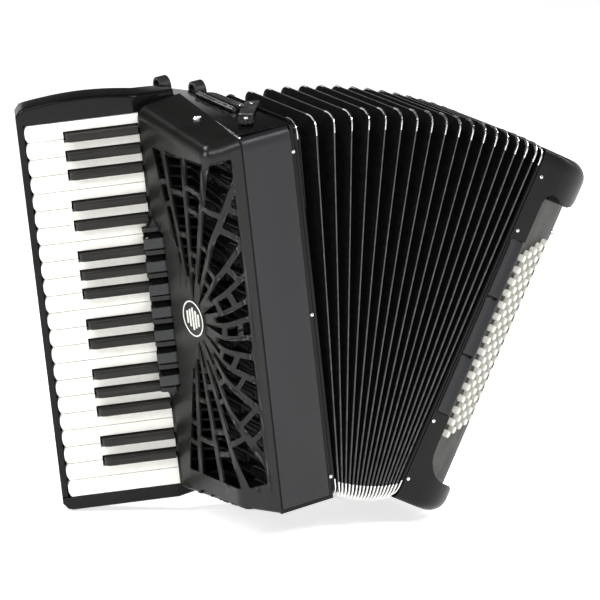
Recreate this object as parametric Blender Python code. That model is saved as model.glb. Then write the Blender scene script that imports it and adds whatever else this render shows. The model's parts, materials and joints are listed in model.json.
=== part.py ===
"""Piano accordion, fanned open at the top: 37 keys, 80 bass buttons, 10 registers.

Every size below is in millimetres; the meshes are written in metres.  The treble half and the bass
half are each modelled upright in their own frame: X towards the bass hand, Y to the back, Z up the
instrument, with the origin at the lower front corner of the face that the bellows is pinned to.
Two empties lean those frames apart, and the whole stands on its lowest corners at world zero.
"""

import math

import bmesh
import bpy
from mathutils import Matrix, Vector

MM = 0.001
GAP = 0.3

# The stance: how far the treble half leans left, and how far the bellows is fanned open.
LEAN = math.radians(9.9)
FAN = math.radians(33.6)

# Treble case.
CASE_HEIGHT = 418.0
CASE_BACK_HEIGHT = 441.0
CASE_DEPTH = 165.0
PANEL_WIDTH = 66.0
PANEL_BULGE = 4.5
CASE_WALL = 7.0

# Grille hood: a shell over the key arms, from the case's left edge round to the keys.
HOOD_LEFT = 110.0
HOOD_FLARE = 8.6
HOOD_BACK = 126.0
HOOD_WALL = 2.6
HOOD_SIDE_LOW = 15.0
HOOD_CORNER = 9.0

# Keyboard.  The key plane is turned by KEY_TURN, so the keys run forwards as they go inwards.
KEY_TURN = math.radians(24.0)
KEY_ORIGIN = (-118.7, 132.0, 12.7)
WHITE_COUNT = 22
WHITE_PITCH = 19.0
WHITE_LENGTH = 118.0
WHITE_DEPTH = 11.0
KEY_GAP = 0.8
BLACK_LENGTH = 76.0
BLACK_WIDTH = 10.0
BLACK_RISE = 9.0
BLACK_CLEARANCE = 1.2
SHARPS_AFTER = {1: 2.0, 2: 0.0, 3: -2.0, 5: 1.5, 6: -1.5}
WHITES_PER_OCTAVE = 7

# Fingerboard: the bed under the keys, its outer rail and its end blocks.
BED_DEPTH = 19.0
BOARD_DEPTH = 31.0
BOARD_END = 16.0
RAIL_WIDTH = 6.0
RAIL_DEPTH = 3.0
END_DEPTH = 1.0

# Key action: the axle, the arms that reach past it, and the pallets on the sound board.
AXLE_ALONG = -10.0
AXLE_DEPTH = 11.5
AXLE_RADIUS = 1.6
ARM_THICKNESS = 4.0
ARM_WIDTH = 4.0
PALLET_THICKNESS = 6.0
PALLET_LENGTH = 34.0
WHITE_PALLET = (16.0, 9.5)
BLACK_PALLET = (62.0, 9.0)
ARM_CROWDING = 0.055
ARM_DROP = 2.5
ARM_REACH = 105.0

# Treble registers: tabs that stand over the inner ends of the keys.
REGISTER_COUNT = 7
REGISTER_PITCH = 25.7
REGISTER_FIRST = 293.5
REGISTER_LENGTH = 24.0
REGISTER_HEIGHT = 18.0
REGISTER_LIFT = 13.5
REGISTER_THICKNESS = 7.0
REGISTER_OUT = 7.0

# Bellows.
FOLD_COUNT = 17
FOLD_DEPTH = 17.0
FOLD_CORNER = 13.0
FOLD_SPREAD = 0.39
FOLD_ENDS = (0.03, 0.0)
BELLOWS_DEPTH = 158.0
BELLOWS_TOP = 421.0
BELLOWS_SKIN = 3.0
BELLOWS_SAG = 7.0
BELLOWS_CROWN = 13.0
BELLOWS_FRAME = 4.5

# Bass case, in the bass frame.  BASS_FOOT is where that frame's origin lies in the treble frame.
BASS_FOOT = (73.3, -23.7)
BASS_LOW = 3.0
BASS_TOP = 413.0
BASS_WIDTH = 86.0
BASS_FRONT = 21.0
BASS_SIDE_START = 56.0
BASS_DEPTH = 160.0
BASS_WALL = 6.0
BOARD_TURN = math.radians(38.0)
BOARD_START = 5.0
BOARD_LENGTH = 72.0
BOARD_LOW = 44.0
BOARD_TOP = 364.0
BOARD_SINK = 6.0
BOARD_THICKNESS = 3.0
WELL_DEPTH = 18.0
WELL_END = 28.0

# Bass buttons: slanted rows of five.
BUTTON_COLUMNS = 16
BUTTON_ROWS = 5
BUTTON_PITCH = 13.73
BUTTON_ROW_PITCH = 12.5
BUTTON_SLANT = 6.3
BUTTON_FIRST_ROW = 11.0
BUTTON_TOP = 294.4
BUTTON_RADIUS = 4.0
BUTTON_RISE = 7.0
BUTTON_SIDES = 8
CARRIER_THICKNESS = 2.0
CARRIER_DROP = 10.0

# Bass registers: three long plates on the front face.
BASS_REGISTER_LENGTH = 66.0
BASS_REGISTER_PITCH = 68.2
BASS_REGISTER_LOW = 107.5
BASS_REGISTER_SPAN = (2.6, 19.4)
BASS_REGISTER_THICKNESS = 5.0
BASS_REGISTER_PROUD = 2.0

# Hand strap, air button, shoulder strap mount and bellows strap.
STRAP_THICKNESS = 4.0
STRAP_SPAN = (52.0, 352.0)
STRAP_WIDTH = (98.0, 154.0)
STRAP_REACH = 17.0
PAD_HEIGHT = 4.0
AIR_BUTTON_RADIUS = 8.0
AIR_BUTTON_RISE = 7.0
AIR_BUTTON_DEPTH = 12.0
AIR_BUTTON_TRAVEL = 5.0
AIR_BUTTON_PLACE = (70.0, 330.0)

# Strap mount: a rail on the back of the treble case, with two posts that end in loops.
MOUNT_THICKNESS = 4.0
MOUNT_RAIL = (-66.0, -8.0)
MOUNT_DROP = (34.0, 24.0)
MOUNT_POSTS = (-61.0, -20.0)
POST_WIDTH = 8.0
LOOP_RADIUS = 9.0
LOOP_WIDTH = 12.0
LOOP_THICKNESS = 3.0


def clear_scene():
    for old in list(bpy.data.objects):
        bpy.data.objects.remove(old, do_unlink=True)


def make_material(name, colour, roughness, metallic=0.0):
    material = bpy.data.materials.new(name)
    material.use_nodes = True
    shader = material.node_tree.nodes["Principled BSDF"]
    shader.inputs["Base Color"].default_value = (*colour, 1.0)
    shader.inputs["Roughness"].default_value = roughness
    shader.inputs["Metallic"].default_value = metallic
    material.diffuse_color = (*colour, 1.0)
    return material


def make_frame(name, tilt, place=(0.0, 0.0, 0.0)):
    """An empty whose rotation about Y leans the half that is parented to it."""
    frame = bpy.data.objects.new(name, None)
    frame.rotation_euler = (0.0, tilt, 0.0)
    frame.location = place
    bpy.context.scene.collection.objects.link(frame)
    return frame


def add_object(name, vertices, faces, frame=None, material=None):
    """A mesh object from vertices in millimetres, with its faces turned to point out."""
    mesh = bpy.data.meshes.new(name)
    mesh.from_pydata([Vector(v) * MM for v in vertices], [], faces)
    shell = bmesh.new()
    shell.from_mesh(mesh)
    bmesh.ops.recalc_face_normals(shell, faces=shell.faces)
    shell.to_mesh(mesh)
    shell.free()
    obj = bpy.data.objects.new(name, mesh)
    bpy.context.scene.collection.objects.link(obj)
    obj.parent = frame
    if material:
        mesh.materials.append(material)
    return obj


def loft(name, rings, frame=None, material=None, closed=False):
    """Bridges rings of equal length.  An open run is capped; a closed run joins its ends."""
    count = len(rings[0])
    vertices = [point for ring in rings for point in ring]
    spans = len(rings) if closed else len(rings) - 1
    faces = []
    for ring in range(spans):
        near = ring * count
        far = (ring + 1) % len(rings) * count
        for i in range(count):
            j = (i + 1) % count
            faces.append((near + i, near + j, far + j, far + i))
    if not closed:
        faces.append(tuple(range(count)))
        faces.append(tuple(range(spans * count, (spans + 1) * count)))
    return add_object(name, vertices, faces, frame, material)


def triangulate(obj):
    """Splits every face into flat triangles, for a shape whose four-cornered faces are twisted."""
    shell = bmesh.new()
    shell.from_mesh(obj.data)
    bmesh.ops.triangulate(shell, faces=shell.faces)
    shell.to_mesh(obj.data)
    shell.free()
    return obj


def prism(name, outline, low, high, frame=None, material=None):
    """An outline in X and Y, extruded along Z."""
    rings = [[(x, y, z) for x, y in outline] for z in (low, high)]
    return loft(name, rings, frame, material)


def box(name, low, high, frame=None, material=None):
    outline = [(low[0], low[1]), (high[0], low[1]), (high[0], high[1]), (low[0], high[1])]
    return prism(name, outline, low[2], high[2], frame, material)


def combine(target, others, operation):
    """Applies a Boolean with each of the other objects, which are then removed."""
    for other in others:
        modifier = target.modifiers.new(operation, "BOOLEAN")
        modifier.operation = operation
        modifier.solver = "EXACT"
        modifier.object = other
    bpy.context.view_layer.update()
    evaluated = target.evaluated_get(bpy.context.evaluated_depsgraph_get())
    target.data = bpy.data.meshes.new_from_object(evaluated)
    target.modifiers.clear()
    for other in others:
        bpy.data.objects.remove(other, do_unlink=True)
    return target


def strip(points, thickness):
    """The outline of a bar of one thickness that follows a line of points in X and Y."""
    left, right = [], []
    for i, point in enumerate(points):
        before = Vector(points[max(i - 1, 0)])
        after = Vector(points[min(i + 1, len(points) - 1)])
        along = (after - before).normalized()
        side = Vector((-along.y, along.x)) * thickness / 2
        left.append(tuple(Vector(point) + side))
        right.append(tuple(Vector(point) - side))
    return left + right[::-1]


def arc(centre, radius, start, end, steps):
    """Points on a circle in X and Y, from one angle in degrees to another."""
    points = []
    for i in range(steps + 1):
        angle = math.radians(start + (end - start) * i / steps)
        points.append((centre[0] + radius * math.cos(angle), centre[1] + radius * math.sin(angle)))
    return points


def key_point(along, depth):
    """X and Y of a point on the keyboard: along a key from its inner end, and below its top."""
    x = KEY_ORIGIN[0] - along * math.cos(KEY_TURN) + depth * math.sin(KEY_TURN)
    y = KEY_ORIGIN[1] + along * math.sin(KEY_TURN) + depth * math.cos(KEY_TURN)
    return (x, y)


def board_point(across, rise):
    """X and Y of a point on the button board: across it from the front, and above its face."""
    x = BASS_FRONT + across * math.cos(BOARD_TURN) + (rise - BOARD_SINK) * math.sin(BOARD_TURN)
    y = across * math.sin(BOARD_TURN) - (rise - BOARD_SINK) * math.cos(BOARD_TURN)
    return (x, y)


def keyboard_span():
    low = KEY_ORIGIN[2]
    return low, low + WHITE_COUNT * WHITE_PITCH


def case_top(x, y):
    """Height of the treble case's top, which rises towards its back corner by the keys."""
    share = (y + PANEL_BULGE) / (CASE_DEPTH + PANEL_BULGE)
    return CASE_HEIGHT + (CASE_BACK_HEIGHT - CASE_HEIGHT) * share * -x / PANEL_WIDTH


def build_treble_case(frame, gloss):
    """The open box that holds the reeds: its open side meets the bellows."""
    slices = 8
    rings = []
    for i in range(slices + 1):
        share = i / slices
        left_y = -PANEL_BULGE + (CASE_DEPTH + PANEL_BULGE) * share
        right_y = CASE_DEPTH * share
        rings.append([(0.0, right_y, 0.0), (-PANEL_WIDTH, left_y, 0.0),
                      (-PANEL_WIDTH, left_y, case_top(-PANEL_WIDTH, left_y)),
                      (0.0, right_y, case_top(0.0, right_y))])
    case = loft("treble_case", rings, frame, gloss)
    cavity = box("cavity", (CASE_WALL - PANEL_WIDTH, CASE_WALL, CASE_WALL),
                 (CASE_WALL, CASE_DEPTH - CASE_WALL, CASE_HEIGHT - CASE_WALL), frame)
    return combine(case, [cavity], "DIFFERENCE")


def hood_rings(inset, right):
    """The lower and upper outline of the hood, drawn in by a wall's thickness."""
    left = -HOOD_LEFT + inset
    front = -PANEL_BULGE + inset
    back = HOOD_BACK + inset
    plan = [(right, front), (left + HOOD_CORNER, front + 1.0), (left + 2.6, front + 3.4),
            (left, front + HOOD_CORNER), (left - HOOD_FLARE, back), (right, back)]
    lows = [0.0, HOOD_SIDE_LOW - 2.0, HOOD_SIDE_LOW, HOOD_SIDE_LOW, HOOD_SIDE_LOW - 4.0, 0.0]
    highs = [CASE_HEIGHT, CASE_HEIGHT - 2.0, CASE_HEIGHT - 3.5, CASE_HEIGHT - 2.0,
             CASE_BACK_HEIGHT - 4.0, CASE_BACK_HEIGHT]
    lower = [(x, y, low + inset) for (x, y), low in zip(plan, lows)]
    upper = [(x, y, high - inset) for (x, y), high in zip(plan, highs)]
    return [lower, upper]


def build_grille(frame, charcoal):
    """A hood open towards the case and the keys, with a window for the register tabs."""
    hood = loft("treble_grille", hood_rings(0.0, -PANEL_WIDTH - GAP), frame, charcoal)
    inside = loft("inside", hood_rings(HOOD_WALL, -PANEL_WIDTH + CASE_WALL), frame)
    span = (REGISTER_COUNT - 1) * REGISTER_PITCH
    window = box("window", (-HOOD_LEFT - 2 * HOOD_FLARE, 92.0, REGISTER_FIRST - span - 16.0),
                 (-HOOD_LEFT + 6.0, HOOD_BACK + 8.0, REGISTER_FIRST + 16.0), frame)
    return combine(hood, [inside, window], "DIFFERENCE")


def build_fingerboard(frame, gloss):
    """The bed that the keys lie over, with the axle between its end blocks."""
    low, high = keyboard_span()
    rail = WHITE_LENGTH + 1.5
    outer = rail + RAIL_WIDTH
    case_side = -PANEL_WIDTH - GAP
    heel = key_point(-8.0, BOARD_DEPTH)
    block_plan = [key_point(outer, BOARD_DEPTH), key_point(outer, RAIL_DEPTH),
                  key_point(rail, END_DEPTH), key_point(0.8, END_DEPTH), key_point(-14.0, 10.0),
                  (case_side, 140.0), (case_side, CASE_DEPTH), heel]
    board = prism("fingerboard", block_plan, low - BOARD_END, high + BOARD_END, frame, gloss)
    well_plan = [key_point(rail, -12.0), key_point(rail, BED_DEPTH), key_point(-4.0, BED_DEPTH),
                 (case_side + 4.0, 150.0), (case_side + 4.0, 90.0), key_point(-4.0, -30.0)]
    well = prism("well", well_plan, low - KEY_GAP, high + KEY_GAP, frame)
    board = combine(board, [well], "DIFFERENCE")
    axle_plan = arc(key_point(AXLE_ALONG, AXLE_DEPTH), AXLE_RADIUS, 0, 315, 7)
    axle = prism("axle", axle_plan, low - 4.0, high + 4.0, frame)
    return combine(board, [axle], "UNION")


def arm_outline(pallet_front):
    """The bar from inside a key, over the axle and forwards to its pallet."""
    sound_board = -PANEL_WIDTH - PALLET_THICKNESS - ARM_THICKNESS / 2
    bend = key_point(-22.0, 3.0)
    points = [key_point(6.0, 6.0), key_point(AXLE_ALONG, AXLE_DEPTH - AXLE_RADIUS - 2.6), bend,
              (sound_board, bend[1] - 22.0), (sound_board, pallet_front)]
    return strip(points, ARM_THICKNESS)


def fan_shift(centre, y):
    """How far an arm has been bent along the keyboard, so that the pallets fit in the case."""
    return (ARM_DROP - ARM_CROWDING * centre) * (KEY_ORIGIN[1] + 2.0 - y) / ARM_REACH


def add_action(key, centre, pallet, frame):
    """Joins the arm and the pallet, given as its front edge and width, to a key."""
    front, width = pallet
    outline = arm_outline(front)
    rings = [[(x, y, centre + fan_shift(centre, y) + side) for x, y in outline]
             for side in (-ARM_WIDTH / 2, ARM_WIDTH / 2)]
    arm = loft("arm", rings, frame)
    place = centre + fan_shift(centre, front - 4.0 + PALLET_LENGTH / 2)
    left = -PANEL_WIDTH - GAP - PALLET_THICKNESS
    pad = box("pad", (left, front - 4.0, place - width / 2),
              (-PANEL_WIDTH - GAP, front - 4.0 + PALLET_LENGTH, place + width / 2), frame)
    return combine(key, [arm, pad], "UNION")


def sharps():
    """(white key above it, centre height) of each sharp, from the top of the keyboard down."""
    high = keyboard_span()[1]
    found = []
    for white in range(1, WHITE_COUNT):
        step = (white - 1) % WHITES_PER_OCTAVE + 1
        if step in SHARPS_AFTER:
            found.append((white, high - white * WHITE_PITCH + SHARPS_AFTER[step]))
    return found


def white_outline(low, high, notch_low, notch_high):
    """A white key's top in height and length: narrow between the sharps, with a round front."""
    shoulder = WHITE_LENGTH - (WHITE_LENGTH - BLACK_LENGTH) + 1.5
    tip = WHITE_LENGTH
    return [(notch_low, 0.5), (notch_low, shoulder), (low, shoulder), (low, tip - 1.5),
            (low + 1.5, tip), (high - 1.5, tip), (high, tip - 1.5), (high, shoulder),
            (notch_high, shoulder), (notch_high, 0.5)]


def tidy_outline(outline):
    """Drops points that repeat the one before, where a key has no notch on a side."""
    return [point for i, point in enumerate(outline) if point != outline[i - 1]]


def build_white_keys(frame, ivory):
    high_end = keyboard_span()[1]
    notch = BLACK_WIDTH / 2 + BLACK_CLEARANCE
    centres = dict(sharps())
    keys = []
    for number in range(1, WHITE_COUNT + 1):
        high = high_end - (number - 1) * WHITE_PITCH - KEY_GAP / 2
        low = high_end - number * WHITE_PITCH + KEY_GAP / 2
        notch_high = centres[number - 1] - notch if number - 1 in centres else high
        notch_low = centres[number] + notch if number in centres else low
        outline = tidy_outline(white_outline(low, high, notch_low, notch_high))
        rings = []
        for depth in (0.0, WHITE_DEPTH):
            rings.append([(*key_point(along, depth), z) for z, along in outline])
        key = loft(f"white_key_{number:02d}", rings, frame, ivory)
        keys.append(add_action(key, (notch_low + notch_high) / 2, WHITE_PALLET, frame))
    return keys


def build_black_keys(frame, ebony):
    keys = []
    nose = 7.0
    outline = [key_point(0.5, -BLACK_RISE), key_point(BLACK_LENGTH - nose, -BLACK_RISE),
               key_point(BLACK_LENGTH - 1.0, -BLACK_RISE + 3.5), key_point(BLACK_LENGTH, 1.0),
               key_point(BLACK_LENGTH, 9.0), key_point(0.5, 9.0)]
    for number, (_, centre) in enumerate(sharps(), start=1):
        key = prism(f"black_key_{number:02d}", outline, centre - BLACK_WIDTH / 2,
                    centre + BLACK_WIDTH / 2, frame, ebony)
        keys.append(add_action(key, centre, BLACK_PALLET, frame))
    return keys


def build_registers(frame, gloss):
    """Tabs whose inner ends are hinged inside the hood and whose outer ends are pressed."""
    inner = REGISTER_OUT - REGISTER_LENGTH
    crown = REGISTER_LIFT + REGISTER_THICKNESS
    outline = [key_point(inner, -REGISTER_LIFT), key_point(inner, -crown + 1.5),
               key_point(inner + 1.5, -crown), key_point(REGISTER_OUT - 2.0, -crown),
               key_point(REGISTER_OUT, -crown + 2.0), key_point(REGISTER_OUT, -REGISTER_LIFT)]
    tabs = []
    for number in range(REGISTER_COUNT):
        centre = REGISTER_FIRST - number * REGISTER_PITCH
        tabs.append(prism(f"treble_register_{number + 1}", outline, centre - REGISTER_HEIGHT / 2,
                          centre + REGISTER_HEIGHT / 2, frame, gloss))
    return tabs


def build_reed_block(name, low, high, frame, wood):
    """A block of reed chambers: a spine with a row of ribs on each side, glued into a case."""
    spine = box(name, low, high, frame, wood)
    rib_count = 9
    step = (high[2] - low[2]) / rib_count
    ribs = []
    for i in range(rib_count):
        z = low[2] + (i + 0.5) * step
        ribs.append(box("rib", (low[0] + 4.0, low[1] - 9.0, z - 2.0),
                        (high[0] - 4.0, high[1] + 9.0, z + 2.0), frame))
    return combine(spine, ribs, "UNION")


def fold_place(step):
    """Foot and tilt of a ridge or valley plane: its share of the fan grows faster at the treble."""
    margin = (BELLOWS_FRAME + 1.5) / BASS_FOOT[0]
    fold = (step - margin) / (1.0 - 2.0 * margin)
    if 0.0 < step < 1.0:
        turn = FOLD_ENDS[0] + (1.0 - FOLD_ENDS[0] - FOLD_ENDS[1]) * fold
    else:
        turn = step
    share = turn + FOLD_SPREAD * turn * (1.0 - turn)
    sag = BELLOWS_SAG * 4.0 * step * (1.0 - step)
    foot = (BASS_FOOT[0] * step - sag * math.sin(FAN / 2),
            BASS_FOOT[1] * step - sag * math.cos(FAN / 2))
    return foot, FAN * share


def fold_ring(step, inset):
    """One loop round the bellows, with cut corners, drawn in by the inset."""
    foot, tilt = fold_place(step)
    low = 1.0 + BASS_LOW * step + inset
    crown = BELLOWS_CROWN * 4.0 * step * (1.0 - step)
    high = BELLOWS_TOP - (BELLOWS_TOP - BASS_TOP) * step + crown - inset
    front, back = inset, BELLOWS_DEPTH - inset
    cut = FOLD_CORNER - inset * 0.35
    loop = [(front, low + cut), (front + cut, low), (back - cut, low), (back, low + cut),
            (back, high - cut), (back - cut, high), (front + cut, high), (front, high - cut)]
    ring = []
    for y, up in loop:
        ring.append((foot[0] + up * math.sin(tilt), y, foot[1] + up * math.cos(tilt)))
    return ring


def frame_rings(step, skin):
    """The two outlines of the wooden frame at one end, from the case inwards."""
    side = 1.0 if step == 0.0 else -1.0
    rings = []
    for reach in (GAP, BELLOWS_FRAME):
        tilt = FAN * step
        shift = (side * reach * math.cos(tilt), 0.0, -side * reach * math.sin(tilt))
        ring = fold_ring(step, 2.0 + (12.0 if skin else 0.0))
        rings.append([tuple(Vector(point) + Vector(shift)) for point in ring])
    return rings


def build_bellows(frame, cloth):
    """A pleated tube: out over the ridges and back inside them, one skin's thickness in."""
    steps = [i / (2 * FOLD_COUNT) for i in range(2 * FOLD_COUNT + 1)]
    margin = (BELLOWS_FRAME + 1.5) / BASS_FOOT[0]
    steps = [margin + (1.0 - 2.0 * margin) * step for step in steps]
    insets = [FOLD_DEPTH if i % 2 == 0 else 0.0 for i in range(len(steps))]
    runs = []
    for skin in (0.0, BELLOWS_SKIN):
        folds = [fold_ring(step, inset + skin) for step, inset in zip(steps, insets)]
        runs.append(frame_rings(0.0, skin) + folds + frame_rings(1.0, skin)[::-1])
    bellows = loft("bellows", runs[0] + runs[1][::-1], frame, cloth, closed=True)
    return triangulate(bellows)


def bass_side():
    return board_point(BOARD_LENGTH, BOARD_SINK)


def build_bass_case(frame, gloss):
    """A box with full, rounded ends and a slanted face between them for the buttons."""
    end_plan = [(0.0, 0.0), (30.0, 0.0)]
    end_plan += arc((30.0, BASS_SIDE_START), BASS_SIDE_START, -60, 0, 3)
    end_plan += [(BASS_WIDTH, BASS_DEPTH), (0.0, BASS_DEPTH)]
    shoulder = 16.0
    rings = []
    for z, inset in ((BASS_LOW, shoulder), (BASS_LOW + shoulder, 3.0), (BASS_LOW + 2 * shoulder, 0.0),
                     (BASS_TOP - 2 * shoulder, 0.0), (BASS_TOP - shoulder, 3.0), (BASS_TOP, shoulder)):
        rings.append([(min(x, BASS_WIDTH - inset), y, z) for x, y in end_plan])
    case = loft("bass_case", rings, frame, gloss)
    cavity = box("cavity", (-BASS_WALL, BASS_WALL, BASS_LOW + 10.0),
                 (10.0, BASS_DEPTH - BASS_WALL, BASS_TOP - 10.0), frame)
    deep = box("deep", (9.0, 72.0, BASS_LOW + 20.0),
               (BASS_WIDTH - 2 * BASS_WALL, BASS_DEPTH - BASS_WALL, BASS_TOP - 20.0), frame)
    side = bass_side()
    notch_plan = [(BASS_FRONT, -10.0), board_point(0.0, BOARD_SINK),
                  board_point(BOARD_START, BOARD_SINK), board_point(BOARD_START, 0.0),
                  board_point(BOARD_LENGTH - 4.0, 0.0), board_point(BOARD_LENGTH - 4.0, BOARD_SINK),
                  side, (side[0] + 40.0, side[1]), (side[0] + 40.0, -10.0)]
    notch = prism("notch", notch_plan, BOARD_LOW, BOARD_TOP, frame)
    near, far = BOARD_START + 1.5, BOARD_LENGTH - 6.0
    well_plan = [board_point(near, 2.0), board_point(near, -WELL_DEPTH),
                 board_point(far, -WELL_DEPTH), board_point(far, 2.0)]
    well = prism("well", well_plan, BOARD_LOW + WELL_END, BOARD_TOP - WELL_END, frame)
    start, end = BASS_REGISTER_SPAN
    top = BASS_REGISTER_LOW + 2 * BASS_REGISTER_PITCH + BASS_REGISTER_LENGTH
    pocket = box("pocket", (start - 1.0, -2.0, BASS_REGISTER_LOW - 1.0),
                 (end + 0.5, BASS_REGISTER_THICKNESS + 1.5, top + 1.0), frame)
    strap_pads = []
    for z in STRAP_SPAN:
        strap_pads.append(box("pad", (BASS_WIDTH - PAD_HEIGHT, STRAP_WIDTH[0] - 4.0, z - 9.0),
                              (BASS_WIDTH + PAD_HEIGHT, STRAP_WIDTH[1] + 4.0, z + 9.0), frame))
    case = combine(case, strap_pads, "UNION")
    hole_plan = arc((0.0, 0.0), AIR_BUTTON_RADIUS + 0.5, 0, 330, 11)
    hole_depth = AIR_BUTTON_DEPTH + AIR_BUTTON_TRAVEL + 2.0
    air_hole = prism("air_hole", hole_plan, 0.0, hole_depth + 10.0, frame)
    air_hole.matrix_local = air_button_place(-hole_depth)
    return combine(case, [cavity, deep, notch, well, pocket, air_hole], "DIFFERENCE")


def air_button_place(shift):
    """The air button's axis: out of the side of the bass case, near the thumb."""
    turn = Matrix.Rotation(math.radians(90.0), 4, "Y")
    place = Matrix.Translation(Vector((BASS_WIDTH + shift, *AIR_BUTTON_PLACE)) * MM)
    return place @ turn


def build_air_button(frame, chrome):
    profile = [(AIR_BUTTON_RADIUS, -AIR_BUTTON_DEPTH), (AIR_BUTTON_RADIUS, AIR_BUTTON_RISE - 2.0),
               (AIR_BUTTON_RADIUS - 2.0, AIR_BUTTON_RISE)]
    rings = [[(x, y, z) for x, y in arc((0.0, 0.0), radius, 0, 330, 11)] for radius, z in profile]
    button = loft("air_button", rings, frame, chrome)
    button.matrix_local = air_button_place(0.0)
    return button


def button_centres():
    """(across the board, height) of every button, row by row."""
    centres = []
    for row in range(BUTTON_ROWS):
        for column in range(BUTTON_COLUMNS):
            across = BUTTON_FIRST_ROW + row * BUTTON_ROW_PITCH
            centres.append((across, BUTTON_TOP - column * BUTTON_PITCH + row * BUTTON_SLANT))
    return centres


def board_ring(points, rise):
    """Board outline points, (across, height), lifted above the board's face."""
    return [(*board_point(across, rise), z) for across, z in points]


def build_button_board(frame, olive):
    """The plate over the button levers, with one slanted slot for each row of five buttons."""
    low, high = BOARD_LOW + GAP, BOARD_TOP - GAP
    near, far = BOARD_START + GAP, BOARD_LENGTH - 4.0 - GAP
    outline = [(near, low), (far, low), (far, high), (near, high)]
    board = loft("bass_button_board", [board_ring(outline, GAP), board_ring(outline, BOARD_THICKNESS)],
                 frame, olive)
    slope = BUTTON_SLANT / BUTTON_ROW_PITCH
    clearance = BUTTON_RADIUS + 0.8
    half = clearance * math.hypot(1.0, slope)
    first = BUTTON_FIRST_ROW - clearance
    last = BUTTON_FIRST_ROW + (BUTTON_ROWS - 1) * BUTTON_ROW_PITCH + clearance
    slots = []
    for column in range(BUTTON_COLUMNS):
        start = BUTTON_TOP - column * BUTTON_PITCH - clearance * slope
        end = start + (last - first) * slope
        slot = [(first, start - half), (last, end - half), (last, end + half), (first, start + half)]
        rings = [board_ring(slot, -2.0), board_ring(slot, BOARD_THICKNESS + 2.0)]
        slots.append(loft("slot", rings, frame))
    return combine(board, slots, "DIFFERENCE")


def build_buttons(frame, ivory):
    """All the buttons on the plate that their levers stand in for, behind the board."""
    reach = (BUTTON_ROWS - 1) * BUTTON_ROW_PITCH
    high = BUTTON_TOP + (BUTTON_ROWS - 1) * BUTTON_SLANT + 5.0
    low = BUTTON_TOP - (BUTTON_COLUMNS - 1) * BUTTON_PITCH - 5.0
    first, last = BUTTON_FIRST_ROW - 4.0, BUTTON_FIRST_ROW + reach + 1.0
    plate = [(first, low), (last, low), (last, high), (first, high)]
    floor = -CARRIER_DROP - CARRIER_THICKNESS
    plate_rings = [board_ring(plate, floor), board_ring(plate, -CARRIER_DROP)]
    carrier = loft("bass_buttons", plate_rings, frame, ivory)
    circle = arc((0.0, 0.0), 1.0, 0, 315, BUTTON_SIDES - 1)
    studs = bmesh.new()
    top = BOARD_THICKNESS + BUTTON_RISE
    heights = ((BUTTON_RADIUS, floor + 1.0), (BUTTON_RADIUS, top - 1.5), (BUTTON_RADIUS * 0.6, top))
    for across, z in button_centres():
        rings = []
        for radius, rise in heights:
            round_plan = [(across + u * radius, z + v * radius) for u, v in circle]
            ring = board_ring(round_plan, rise)
            rings.append([studs.verts.new(Vector(point) * MM) for point in ring])
        for near, far in zip(rings, rings[1:]):
            for i in range(BUTTON_SIDES):
                j = (i + 1) % BUTTON_SIDES
                studs.faces.new((near[i], near[j], far[j], far[i]))
        studs.faces.new(rings[0])
        studs.faces.new(rings[-1])
    bmesh.ops.recalc_face_normals(studs, faces=studs.faces)
    mesh = bpy.data.meshes.new("studs")
    studs.to_mesh(mesh)
    studs.free()
    stud_object = bpy.data.objects.new("studs", mesh)
    bpy.context.scene.collection.objects.link(stud_object)
    stud_object.parent = frame
    return combine(carrier, [stud_object], "UNION")


def build_bass_registers(frame, gloss):
    start, end = BASS_REGISTER_SPAN
    back = BASS_REGISTER_THICKNESS - BASS_REGISTER_PROUD
    plates = []
    for number in range(3):
        low = BASS_REGISTER_LOW + (2 - number) * BASS_REGISTER_PITCH
        outline = [(start, back), (start, 0.0), (start + 1.0, -BASS_REGISTER_PROUD),
                   (end - 1.0, -BASS_REGISTER_PROUD), (end, 0.0), (end, back)]
        plates.append(prism(f"bass_register_{number + 1}", outline, low, low + BASS_REGISTER_LENGTH,
                            frame, gloss))
    return plates


def build_hand_strap(frame, leather):
    """A leather band that stands off the bass case's side, with its ends flat on the pads."""
    low, high = STRAP_SPAN
    side = BASS_WIDTH + PAD_HEIGHT + GAP
    count = 12
    outer, inner = [], []
    for i in range(count + 1):
        share = i / count
        z = low - 7.0 + (high - low + 14.0) * share
        lift = STRAP_REACH * min(1.0, math.sin(math.pi * share) * 1.35) if 0 < i < count else 0.0
        inner.append((side + lift, z))
        outer.append((side + lift + STRAP_THICKNESS, z))
    outline = inner + outer[::-1]
    rings = [[(x, y, z) for x, z in outline] for y in STRAP_WIDTH]
    return loft("hand_strap", rings, frame, leather)


def loop_centre(x):
    """Y and Z of a strap loop behind the case's top edge; the edge falls towards the bellows."""
    return (CASE_DEPTH + MOUNT_THICKNESS + LOOP_RADIUS - 1.0, case_top(x, CASE_DEPTH))


def build_strap_mount(frame, chrome):
    """A rail on the case's back with the two posts that the shoulder straps' loops hang on."""
    near, far = CASE_DEPTH + GAP, CASE_DEPTH + MOUNT_THICKNESS
    low, high = (CASE_BACK_HEIGHT - drop for drop in MOUNT_DROP)
    rail = box("strap_mount", (MOUNT_RAIL[0], near, low), (MOUNT_RAIL[1], far, high), frame, chrome)
    swap_axes = Matrix(((0, 0, 1, 0), (1, 0, 0, 0), (0, 1, 0, 0), (0, 0, 0, 1)))
    parts = []
    for x in MOUNT_POSTS:
        centre = loop_centre(x)
        parts.append(box("post", (x - POST_WIDTH / 2, near, low),
                         (x + POST_WIDTH / 2, far, centre[1]), frame))
        ring = arc(centre, LOOP_RADIUS, -90, 240, 11)
        loop = prism("loop", strip(ring, LOOP_THICKNESS), x - LOOP_WIDTH / 2, x + LOOP_WIDTH / 2, frame)
        loop.matrix_local = swap_axes
        parts.append(loop)
    return combine(rail, parts, "UNION")


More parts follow.
